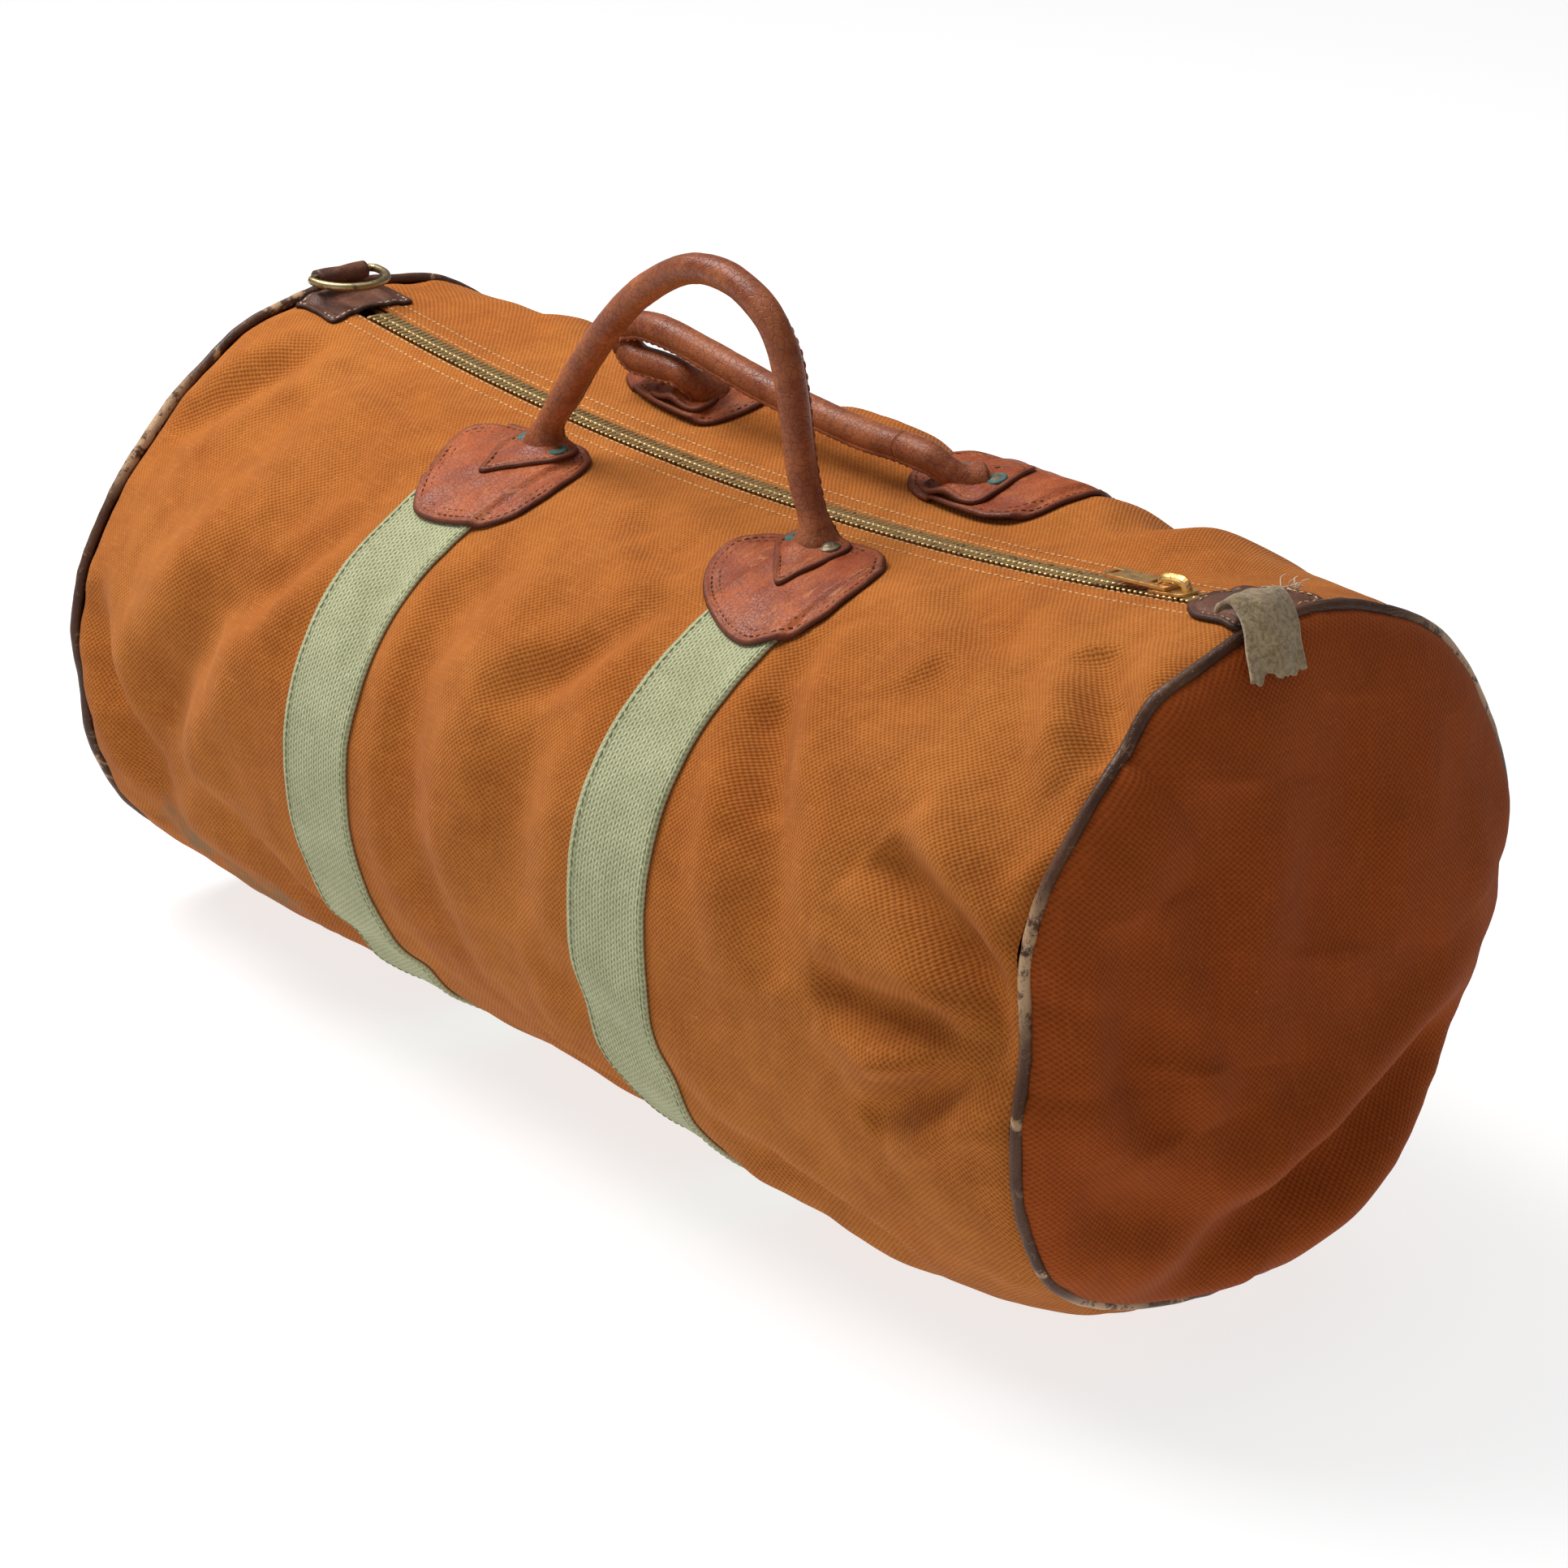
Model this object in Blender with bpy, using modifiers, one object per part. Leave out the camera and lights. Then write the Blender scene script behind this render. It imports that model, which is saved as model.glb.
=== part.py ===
"""Canvas duffel bag with rolled leather handles, webbing straps and a brass zip.

Metres, +Z up. X runs along the bag, -Y is its front, and the origin is on the floor under its middle.
The canvas is one wrapped sheet, so most pieces are cut flat as (x, s) and then wrapped onto the bag:
s is the distance round the bag from the zip line, positive towards the front.
"""

import functools
import math

import bmesh
import bpy
import numpy as np
from mathutils import Matrix, Vector

# The bag.
LENGTH = 0.673
HALF_LENGTH = LENGTH / 2
MIDDLE_HALF_WIDTH = 0.165
RIGHT_HALF_WIDTH = 0.138
LEFT_HALF_WIDTH = 0.153
WIDEST_HEIGHT = 0.148
WIDEST_DROP_AT_ENDS = 0.006
BOTTOM_DIP = 0.004
RIGHT_BOTTOM_RISE = 0.030
LEFT_BOTTOM_RISE = 0.012
ROUNDNESS = 2.1
LOWER_ROUNDNESS = 2.0
RIGHT_LOWER_FRONT_ROUNDNESS = 2.9
RIGHT_LOWER_BACK_ROUNDNESS = 1.6
LEFT_LOWER_ROUNDNESS = 2.4
LEFT_UPPER_FRONT_ROUNDNESS = 1.72
# The right end's back is drawn in below this height, where the stuffing has sunk away from it.
RIGHT_BACK_PULL = 0.22
RIGHT_BACK_PULL_TOP = 0.225
RIGHT_BACK_PULL_DEPTH = 0.100
SHOULDER_RISE = 0.0285
SHOULDER_Y = 0.078
SHOULDER_SPREAD = 0.050
SHOULDER_START = 0.045
SHOULDER_FADE = 0.86
RIGHT_PANEL_BULGE = 0.0260
LEFT_PANEL_BULGE = 0.0060
# The middle of the two bulging ends, so that the origin can stand under the middle of the whole.
CENTRE_X = (RIGHT_PANEL_BULGE - LEFT_PANEL_BULGE) / 2

# The zip line hangs in an arc about a far centre above the bag.
ZIP_RADIUS = 2.200
ZIP_CENTRE_X = -0.0696
ZIP_LOWEST = 0.2768
ZIP_CENTRE_Z = ZIP_LOWEST + ZIP_RADIUS

# Layers, as thickness, and the gap between soft layers.
LAYER_GAP = 0.0008
CANVAS = 0.003
WEBBING = 0.0016
LEATHER = 0.0018
REST_HEIGHT = LAYER_GAP + WEBBING
WEBBING_LAYER = (LAYER_GAP, REST_HEIGHT)
PATCH_LAYER = (REST_HEIGHT + LAYER_GAP, REST_HEIGHT + LAYER_GAP + LEATHER)
END_PATCH_LAYER = (0.0020, 0.0020 + LEATHER)
CHAPE_LAYER = (PATCH_LAYER[1] + LAYER_GAP, PATCH_LAYER[1] + LAYER_GAP + LEATHER)

# Straps and handles.
STRAP_X = 0.1084
STRAP_WIDTH = 0.050
PATCH_TOP = 0.029
PATCH_TIP = 0.103
CHAPE_HALF_WIDTH = 0.0195
HANDLE_RADIUS = 0.0065
HANDLE_WALL = 0.0021
NECK_RATIO = 0.72
CORE_RADIUS = 0.0039
RIVET_OFFSET = 0.0115
FRONT_RIVET_S = 0.041
BACK_RIVET_S = 0.053
LEFT_BASE_X = -0.101
RIGHT_BASE_X = 0.094
RIVET_HEAD = 0.0042
RIVET_SHANK = 0.0014

# Zip.
SLOT_HALF = 0.0075
TEETH_FROM = 0.0010
TEETH_TO = 0.0050
TEETH_LAYER = (-0.0052, -0.0012)
TAPE_FROM = 0.0054
TAPE_TO = 0.0170
TAPE_LAYER = (-0.0048, -0.0036)
TEETH_LEFT = -0.292
TEETH_RIGHT = 0.289
SLIDER_X = 0.272
SLIDER_HALF_LENGTH = 0.011
SLIDER_HALF_WIDTH = 0.0060

# Ends.
SEAM_HALF = 0.0045
PANEL_START = 0.0072
PIPING_RADIUS = 0.0040
PIPING_INSET = 0.0010
RING_X = -0.3255
RING_WIRE = 0.0020
RING_HALF_WIDTH = 0.0185
RING_DEPTH = 0.0265
RING_CORNER = 0.0040
ROLL_RADIUS = 0.0055
ROLL_BORE = 0.0027
ROLL_HALF_LENGTH = 0.0140

FRONT_HANDLE_ROUTE = [
    (-0.0995, -0.0400, 0.2870),
    (-0.0960, -0.0400, 0.2930),
    (-0.0860, -0.0400, 0.3050),
    (-0.0710, -0.0400, 0.3245),
    (-0.0500, -0.0400, 0.3480),
    (-0.0260, -0.0400, 0.3685),
    (0.0050, -0.0400, 0.3850),
    (0.0330, -0.0400, 0.3880),
    (0.0570, -0.0400, 0.3800),
    (0.0705, -0.0400, 0.3660),
    (0.0770, -0.0400, 0.3480),
    (0.0805, -0.0400, 0.3300),
    (0.0840, -0.0400, 0.3140),
    (0.0900, -0.0400, 0.3000),
    (0.0935, -0.0400, 0.2935),
]
BACK_HANDLE_ROUTE = [
    (-0.0960, 0.0345, 0.2995),
    (-0.1020, 0.0345, 0.2995),
    (-0.1160, 0.0345, 0.2990),
    (-0.1310, 0.0345, 0.2990),
    (-0.1395, 0.0348, 0.3050),
    (-0.1350, 0.0350, 0.3125),
    (-0.1200, 0.0350, 0.3160),
    (-0.0980, 0.0350, 0.3155),
    (-0.0680, 0.0350, 0.3120),
    (-0.0350, 0.0350, 0.3080),
    (0.0000, 0.0350, 0.3050),
    (0.0360, 0.0350, 0.3035),
    (0.0620, 0.0350, 0.3045),
    (0.0780, 0.0345, 0.3050),
    (0.0830, 0.0345, 0.3050),
]
FRONT_HINGE = (0.0, -0.0400, 0.2950)
BACK_HINGE = (0.0, 0.0345, 0.3024)


# ---------------------------------------------------------------- the bag's surface


def zip_height(x):
    """Height of the zip line at x."""
    return ZIP_CENTRE_Z - math.sqrt(ZIP_RADIUS**2 - (x - ZIP_CENTRE_X) ** 2)


def section(x):
    """Half width, top, widest height and bottom of the bag at x."""
    along = min(abs(x) / HALF_LENGTH, 1.0)
    end_width = RIGHT_HALF_WIDTH if x > 0 else LEFT_HALF_WIDTH
    rise = RIGHT_BOTTOM_RISE if x > 0 else LEFT_BOTTOM_RISE
    half_width = MIDDLE_HALF_WIDTH - (MIDDLE_HALF_WIDTH - end_width) * along**3
    widest = WIDEST_HEIGHT - WIDEST_DROP_AT_ENDS * along**3
    return half_width, zip_height(x), widest, rise * along**8 - BOTTOM_DIP


def surface(x, turn):
    """Points of the stuffed canvas at x, for turn from 0.25 (the zip) over the front (0.5) and round."""
    half_width, top, widest, bottom = section(x)
    across = np.cos(2 * math.pi * np.asarray(turn))
    up = np.sin(2 * math.pi * np.asarray(turn))
    along = min(abs(x) / HALF_LENGTH, 1.0)
    if x > 0:
        upper_front = ROUNDNESS
        lower_front = LOWER_ROUNDNESS + (RIGHT_LOWER_FRONT_ROUNDNESS - LOWER_ROUNDNESS) * along**2
        lower_back = LOWER_ROUNDNESS + (RIGHT_LOWER_BACK_ROUNDNESS - LOWER_ROUNDNESS) * along**4
    else:
        upper_front = ROUNDNESS + (LEFT_UPPER_FRONT_ROUNDNESS - ROUNDNESS) * along**4
        lower_front = LOWER_ROUNDNESS + (LEFT_LOWER_ROUNDNESS - LOWER_ROUNDNESS) * along**2
        lower_back = lower_front
    front = across < 0
    power = 2 / np.where(up > 0, np.where(front, upper_front, ROUNDNESS), np.where(front, lower_front, lower_back))
    y = half_width * np.sign(across) * np.abs(across) ** power
    reach = np.where(up > 0, top - widest, widest - bottom)
    z = widest + reach * np.sign(up) * np.abs(up) ** power
    sunk = np.clip((RIGHT_BACK_PULL_TOP - z) / RIGHT_BACK_PULL_DEPTH, 0, 1)
    pull = RIGHT_BACK_PULL * max(x / HALF_LENGTH, 0.0) ** 4
    y = y * np.where(across > 0, 1 - pull * sunk**2 * (3 - 2 * sunk), 1)
    fade = max(0.0, 1 - SHOULDER_FADE * (x / HALF_LENGTH) ** 2)
    bump = np.exp(-(((y - SHOULDER_Y) / SHOULDER_SPREAD) ** 2))
    start = 1 - np.exp(-((np.maximum(y, 0) / SHOULDER_START) ** 2))
    z = z + SHOULDER_RISE * fade * bump * start * np.maximum(up, 0)
    return np.stack([np.full_like(y, x), y, z], -1)


@functools.lru_cache(maxsize=None)
def round_table(x):
    """Turns and their distance from the zip line, measured round the bag at x."""
    turns = np.linspace(0.25, 1.25, 721)
    points = surface(x, turns)
    steps = np.linalg.norm(np.diff(points, axis=0), axis=1)
    return turns, np.concatenate([[0.0], np.cumsum(steps)])


def girth(x):
    """Distance all the way round the bag at x."""
    return float(round_table(round(x, 6))[1][-1])


def on_bag(x, s, d):
    """The point a height d off the canvas, s round from the zip line at x."""
    turns, lengths = round_table(round(x, 6))
    turn = float(np.interp(s % lengths[-1], lengths, turns))
    here = Vector(surface(x, turn))
    small = 1e-4
    round_it = Vector(surface(x, turn + small)) - Vector(surface(x, turn - small))
    inner = max(-HALF_LENGTH, x - small)
    outer = min(HALF_LENGTH, x + small)
    along_it = Vector(surface(outer, turn)) - Vector(surface(inner, turn))
    point = here + round_it.cross(along_it).normalized() * d
    point.z = max(point.z, REST_HEIGHT - d)
    return point


# ---------------------------------------------------------------- tools


def clear_scene():
    for old in list(bpy.data.objects):
        bpy.data.objects.remove(old, do_unlink=True)


def new_collection(name):
    collection = bpy.data.collections.new(name)
    bpy.context.scene.collection.children.link(collection)
    return collection


def make_material(name, colour, roughness, metallic=0.0):
    material = bpy.data.materials.new(name)
    material.use_nodes = True
    shader = material.node_tree.nodes["Principled BSDF"]
    shader.inputs["Base Color"].default_value = (*colour, 1.0)
    shader.inputs["Roughness"].default_value = roughness
    shader.inputs["Metallic"].default_value = metallic
    return material


def add_object(name, data, material, collection, origin=(0, 0, 0)):
    """A new object for a mesh in world coordinates, with its origin moved to the given point."""
    obj = bpy.data.objects.new(name, data)
    data.transform(Matrix.Translation(-Vector(origin)))
    obj.location = origin
    data.materials.append(material)
    collection.objects.link(obj)
    if obj.type == "MESH":
        data.shade_smooth()
        data.set_sharp_from_angle(angle=math.radians(35))
    return obj


def mesh_from(bm, name):
    mesh = bpy.data.meshes.new(name)
    bm.to_mesh(mesh)
    bm.free()
    return mesh


def face_outwards(bm):
    """Turns the faces of a closed solid so that they point out."""
    bmesh.ops.recalc_face_normals(bm, faces=bm.faces)
    if bm.calc_volume(signed=True) < 0:
        bmesh.ops.reverse_faces(bm, faces=bm.faces)


def wrapped(name, flat, layer, material, collection, place=on_bag):
    """Gives a flat (x, s) sheet its thickness and wraps it onto the bag between two heights."""
    low, high = layer
    bmesh.ops.recalc_face_normals(flat, faces=flat.faces)
    bmesh.ops.solidify(flat, geom=flat.faces[:], thickness=high - low)
    middle = sum(v.co.z for v in flat.verts) / len(flat.verts)
    for vert in flat.verts:
        vert.co = place(vert.co.x, vert.co.y, high if vert.co.z > middle else low)
    face_outwards(flat)
    return add_object(name, mesh_from(flat, name), material, collection)


def flat_grid(xs, ss):
    """A flat sheet with one row of points for each x and each s."""
    flat = bmesh.new()
    bmesh.ops.create_grid(flat, x_segments=len(xs) - 1, y_segments=len(ss) - 1, size=1)
    for vert in flat.verts:
        column = round((vert.co.x + 1) / 2 * (len(xs) - 1))
        row = round((vert.co.y + 1) / 2 * (len(ss) - 1))
        vert.co = (xs[column], ss[row], 0)
    return flat


def smooth_through(points, count, closed=False):
    """Points of a Catmull-Rom curve through the given ones."""
    given = [Vector(p) for p in points]
    spans = len(given) if closed else len(given) - 1
    if not closed:
        given = [given[0] * 2 - given[1], *given, given[-1] * 2 - given[-2]]
    found = []
    for index in range(count):
        place = spans * index / (count if closed else count - 1)
        span = min(int(place), spans - 1)
        t = place - span
        first = span if not closed else span - 1
        a, b, c, d = (given[(first + k) % len(given)] for k in range(4))
        found.append(
            0.5 * ((2 * b) + (c - a) * t + (2 * a - 5 * b + 4 * c - d) * t**2
                   + (3 * b - a - 3 * c + d) * t**3)
        )
    return found


def flat_disc(outline, rings=2):
    """A flat filled outline with inner rings, so that it bends with the bag."""
    flat = bmesh.new()
    face = flat.faces.new([flat.verts.new((x, s, 0)) for x, s in outline])
    middle_x = sum(x for x, _ in outline) / len(outline)
    middle_s = sum(s for _, s in outline) / len(outline)
    for ring in range(rings, 0, -1):
        face = bmesh.ops.extrude_discrete_faces(flat, faces=[face])["faces"][0]
        share = ring / (ring + 1)
        for vert in face.verts:
            vert.co.x = middle_x + (vert.co.x - middle_x) * share
            vert.co.y = middle_s + (vert.co.y - middle_s) * share
    return flat


def mirrored(half):
    """The whole outline, from the points of its right half listed from top to tip."""
    return half + [(-x, s) for x, s in reversed(half) if x > 0]


def tube_curve(name, points, radius, collection, material, cyclic=False, radii=None, sides=2, caps=True):
    curve = bpy.data.curves.new(name, "CURVE")
    curve.dimensions = "3D"
    curve.bevel_depth = radius
    curve.bevel_resolution = sides
    curve.use_fill_caps = caps
    spline = curve.splines.new("POLY")
    spline.points.add(len(points) - 1)
    spline.use_cyclic_u = cyclic
    for index, point in enumerate(points):
        spline.points[index].co = (*point, 1)
        spline.points[index].radius = radii[index] if radii else 1.0
    obj = bpy.data.objects.new(name, curve)
    curve.materials.append(material)
    collection.objects.link(obj)
    return obj


def as_mesh(obj):
    """The same object as a mesh, with the curve removed."""
    bpy.context.view_layer.update()
    graph = bpy.context.evaluated_depsgraph_get()
    mesh = bpy.data.meshes.new_from_object(obj.evaluated_get(graph))
    bm = bmesh.new()
    bm.from_mesh(mesh)
    bmesh.ops.remove_doubles(bm, verts=bm.verts, dist=1e-6)
    bm.to_mesh(mesh)
    bm.free()
    name, collection, matrix = obj.name, obj.users_collection[0], obj.matrix_world.copy()
    bpy.data.objects.remove(obj, do_unlink=True)
    new = bpy.data.objects.new(name, mesh)
    new.matrix_world = matrix
    collection.objects.link(new)
    mesh.shade_smooth()
    return new


def box(name, low, high, collection, material=None):
    bm = bmesh.new()
    bmesh.ops.create_cube(bm, size=1)
    size = Vector(high) - Vector(low)
    bmesh.ops.scale(bm, vec=size, verts=bm.verts)
    bmesh.ops.translate(bm, vec=(Vector(high) + Vector(low)) / 2, verts=bm.verts)
    obj = bpy.data.objects.new(name, mesh_from(bm, name))
    if material:
        obj.data.materials.append(material)
    collection.objects.link(obj)
    return obj


def hide(obj):
    obj.hide_render = True
    obj.display_type = "WIRE"


def boolean(obj, other, operation):
    modifier = obj.modifiers.new(operation.lower() + "_" + other.name, "BOOLEAN")
    modifier.operation = operation
    modifier.solver = "EXACT"
    modifier.object = other
    hide(other)


# ---------------------------------------------------------------- canvas, panels and piping


def body_rows():
    """Stations along the bag, with one at each edge and the middle of each strap."""
    half = STRAP_WIDTH / 2
    side = [0.028, STRAP_X - half, STRAP_X, STRAP_X + half, 0.185, 0.240, 0.295, HALF_LENGTH - SEAM_HALF]
    return [-x for x in reversed(side)] + side


BODY_COLUMNS = 48


def column_distance(x, share):
    """Distance round from the zip line of a share of the canvas, from its front edge to its back edge."""
    return SLOT_HALF + share * (girth(x) - 2 * SLOT_HALF)


def on_bag_by_share(x, share, d):
    return on_bag(x, column_distance(x, share), d)


def build_canvas(parts, finish):
    shares = [index / BODY_COLUMNS for index in range(BODY_COLUMNS + 1)]
    flat = flat_grid(body_rows(), shares)
    return wrapped("canvas_body", flat, (-CANVAS, 0.0), finish["canvas"], parts, on_bag_by_share)


def end_outline(side, turn, d=0.0):
    """A point of the bag's end outline, moved out by d in the end's own plane."""
    small = 1e-4
    x = side * HALF_LENGTH
    here = Vector(surface(x, turn))
    along = Vector(surface(x, turn + small)) - Vector(surface(x, turn - small))
    outward = Vector((0, along.z, -along.y)).normalized()
    if outward.dot(here - Vector((x, 0, section(x)[2]))) < 0:
        outward.negate()
    return here + outward * d


def build_end_panel(name, side, parts, finish):
    steps, rings = 40, 5
    bm = bmesh.new()
    spokes = [bm.verts.new((math.sin(math.pi / 2 * k / rings), 0, 0)) for k in range(rings + 1)]
    for first, second in zip(spokes, spokes[1:]):
        bm.edges.new((first, second))
    bmesh.ops.spin(bm, geom=bm.verts[:] + bm.edges[:], axis=(0, 0, 1), cent=(0, 0, 0),
                   angle=math.tau, steps=steps, use_merge=True)
    bmesh.ops.remove_doubles(bm, verts=bm.verts, dist=1e-6)
    bulge = RIGHT_PANEL_BULGE if side > 0 else LEFT_PANEL_BULGE
    centre = Vector((side * HALF_LENGTH, 0, section(side * HALF_LENGTH)[2]))
    for vert in bm.verts:
        reach = min(vert.co.length, 1.0)
        turn = math.atan2(vert.co.y, vert.co.x) / math.tau
        rim = end_outline(side, turn, -LAYER_GAP)
        point = centre + (rim - centre) * reach
        point.x += side * (PANEL_START + bulge * (1 - reach**2.2) ** 0.75)
        vert.co = point
    bmesh.ops.recalc_face_normals(bm, faces=bm.faces)
    middle = max(bm.faces, key=lambda face: side * face.calc_center_median().x)
    if middle.normal.x * side < 0:
        bmesh.ops.reverse_faces(bm, faces=bm.faces)
    obj = add_object(name, mesh_from(bm, name), finish["panel"], parts)
    wall = obj.modifiers.new("wall", "SOLIDIFY")
    wall.thickness = CANVAS
    wall.offset = -1
    return obj


def build_piping(name, side, parts, finish):
    count = 44
    points = [end_outline(side, index / count, -PIPING_INSET) for index in range(count)]
    obj = tube_curve(name, points, PIPING_RADIUS, parts, finish["piping"], cyclic=True, sides=1)
    return obj


# ---------------------------------------------------------------- straps, patches and rivets


def build_strap(name, middle_x, parts, finish):
    half = STRAP_WIDTH / 2
    shares = [index / BODY_COLUMNS for index in range(2, BODY_COLUMNS - 1)]
    flat = flat_grid([middle_x - half, middle_x, middle_x + half], shares)
    return wrapped(name, flat, WEBBING_LAYER, finish["webbing"], parts, on_bag_by_share)


def patch_outline():
    half = [
        (0.0, PATCH_TOP),
        (0.0185, PATCH_TOP + 0.002),
        (0.0310, PATCH_TOP + 0.009),
        (0.0400, PATCH_TOP + 0.018),
        (0.0440, PATCH_TOP + 0.030),
        (0.0430, PATCH_TOP + 0.043),
        (0.0380, PATCH_TIP - 0.018),
        (0.0285, PATCH_TIP - 0.008),
        (0.0150, PATCH_TIP - 0.0015),
        (0.0, PATCH_TIP),
    ]
    return mirrored(half)


def chape_outline():
    half = [
        (0.0, PATCH_TOP + 0.003),
        (CHAPE_HALF_WIDTH * 0.8, PATCH_TOP + 0.004),
        (CHAPE_HALF_WIDTH, PATCH_TOP + 0.009),
        (CHAPE_HALF_WIDTH, PATCH_TOP + 0.020),
        (CHAPE_HALF_WIDTH * 0.5, PATCH_TOP + 0.031),
        (0.0, PATCH_TOP + 0.042),
    ]
    return mirrored(half)


def placed_outline(outline, middle_x, facing):
    return [(middle_x + x, facing * s) for x, s in outline]


def build_patch(name, middle_x, facing, parts, finish):
    outline = [(p.x, p.y) for p in smooth_through([(x, s, 0) for x, s in patch_outline()], 28, closed=True)]
    flat = flat_disc(placed_outline(outline, middle_x, facing), rings=3)
    return wrapped(name, flat, PATCH_LAYER, finish["patch"], parts)


def build_chape(name, middle_x, facing, parts, finish):
    outline = [(p.x, p.y) for p in smooth_through([(x, s, 0) for x, s in chape_outline()], 20, closed=True)]
    flat = flat_disc(placed_outline(outline, middle_x, facing), rings=2)
    return wrapped(name, flat, CHAPE_LAYER, finish["handle"], parts)


def rivet_matrix(x, s):
    """Stands a rivet on the chape, with its own Z along the bag's normal."""
    base = on_bag(x, s, 0.0)
    normal = (on_bag(x, s, 0.004) - base).normalized()
    turn = Vector((0, 0, 1)).rotation_difference(normal).to_matrix().to_4x4()
    return Matrix.Translation(base) @ turn


def build_rivet(name, x, s, parts, finish):
    """A domed head, a shank through every layer and a flat burr inside the bag."""
    head = CHAPE_LAYER[1] + LAYER_GAP
    burr = -CANVAS - 2.5 * LAYER_GAP
    profile = [
        (0.0, head + 0.0021),
        (RIVET_HEAD * 0.62, head + 0.0016),
        (RIVET_HEAD * 0.93, head + 0.0008),
        (RIVET_HEAD, head),
        (RIVET_SHANK, head),
        (RIVET_SHANK, burr),
        (RIVET_HEAD * 0.9, burr),
        (RIVET_HEAD * 0.9, burr - 0.0010),
        (0.0, burr - 0.0010),
    ]
    bm = bmesh.new()
    corners = [bm.verts.new((r, 0, z)) for r, z in profile]
    for first, second in zip(corners, corners[1:]):
        bm.edges.new((first, second))
    obj = add_object(name, mesh_from(bm, name), finish["rivet"], parts)
    turned = obj.modifiers.new("turned", "SCREW")
    turned.steps = 9
    turned.render_steps = 9
    turned.use_merge_vertices = True
    turned.merge_threshold = 1e-5
    obj.matrix_world = rivet_matrix(x, s)
    return obj


def build_rivet_holes(places, cutters):
    """One cutter with a cylinder for each rivet."""
    bm = bmesh.new()
    for x, s in places:
        made = bmesh.ops.create_cone(bm, cap_ends=True, segments=10, radius1=RIVET_SHANK + 0.0005,
                                     radius2=RIVET_SHANK + 0.0005, depth=0.030)
        bmesh.ops.transform(bm, matrix=rivet_matrix(x, s), verts=made["verts"])
    obj = bpy.data.objects.new("rivet_holes", mesh_from(bm, "rivet_holes"))
    cutters.objects.link(obj)
    hide(obj)
    return obj


# ---------------------------------------------------------------- handles


def build_handle(name, route, hinge, parts, finish):
    """A leather tube that narrows to a neck at each end, and the rope core rolled inside it."""
    count = 28
    points = smooth_through(route, count)
    radii = []
    for index in range(count):
        from_end = min(index, count - 1 - index) / 2.5
        radii.append(NECK_RATIO + (1 - NECK_RATIO) * min(from_end, 1.0))
    tube = tube_curve(name, points, HANDLE_RADIUS, parts, finish["handle"], radii=radii, caps=False)
    cover = as_mesh(tube)
    cover.data.transform(Matrix.Translation(-Vector(hinge)))
    cover.location = hinge
    wall = cover.modifiers.new("wall", "SOLIDIFY")
    wall.thickness = HANDLE_WALL
    wall.offset = -1
    inner = points[3:-3]
    core = as_mesh(tube_curve(name + "_core", inner, CORE_RADIUS, parts, finish["rope"], sides=1))
    core.data.transform(Matrix.Translation(-Vector(hinge)))
    core.location = hinge
    return cover, core


# ---------------------------------------------------------------- zip


def along_zip(x, lift=0.0):
    """A frame on the zip line at x: X along the line, Z up off it."""
    tilt = -math.asin((x - ZIP_CENTRE_X) / ZIP_RADIUS)
    turn = Matrix.Rotation(tilt, 4, "Y")
    return Matrix.Translation((x, 0, zip_height(x))) @ turn @ Matrix.Translation((0, 0, lift))


def build_zip_rows(parts, finish):
    span = TEETH_RIGHT - TEETH_LEFT
    stations = [TEETH_LEFT + span * index / 28 for index in range(29)]
    for name, facing in (("front", 1), ("back", -1)):
        flat = flat_grid(stations, sorted([facing * TEETH_FROM, facing * TEETH_TO]))
        wrapped("zipper_teeth_" + name, flat, TEETH_LAYER, finish["brass"], parts)
        flat = flat_grid(body_rows(), sorted([facing * TAPE_FROM, facing * TAPE_TO]))
        wrapped("zipper_tape_" + name, flat, TAPE_LAYER, finish["tape"], parts)
    for name, x in (("zipper_stop_left", TEETH_LEFT - 0.0026), ("zipper_stop_right", TEETH_RIGHT + 0.0026)):
        stop = box(name, (-0.002, -TEETH_TO, TEETH_LAYER[0]), (0.002, TEETH_TO, TEETH_LAYER[1]), parts,
                   finish["brass"])
        stop.matrix_world = along_zip(x)
        rounded = stop.modifiers.new("rounded", "BEVEL")
        rounded.width = 0.0006


def build_slider(parts, cutters, finish):
    """Two plates round the teeth, the wedge between them and the bridge that holds the pull."""
    place = along_zip(SLIDER_X)
    length, width = SLIDER_HALF_LENGTH, SLIDER_HALF_WIDTH
    slider = box("zipper_slider", (-length, -width, -0.0006), (length, width, 0.0010), parts, finish["gilt"])
    lower = box("slider_lower_plate", (-length, -width, -0.0074), (length, width, -0.0062), cutters)
    post = box("slider_post", (0.0050, -0.0006, -0.0068), (0.0085, 0.0006, 0.0002), cutters)
    bridge = box("slider_bridge", (-0.0085, -0.0025, 0.0005), (0.0085, 0.0025, 0.0066), cutters)
    window = box("slider_window", (-0.0058, -0.0040, 0.0010), (0.0058, 0.0040, 0.0050), cutters)
    for piece in (slider, lower, post, bridge, window):
        piece.matrix_world = place
    boolean(bridge, window, "DIFFERENCE")
    for piece in (lower, post, bridge):
        boolean(slider, piece, "UNION")
    return slider


PULL_AXIS_LIFT = 0.0030


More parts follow.
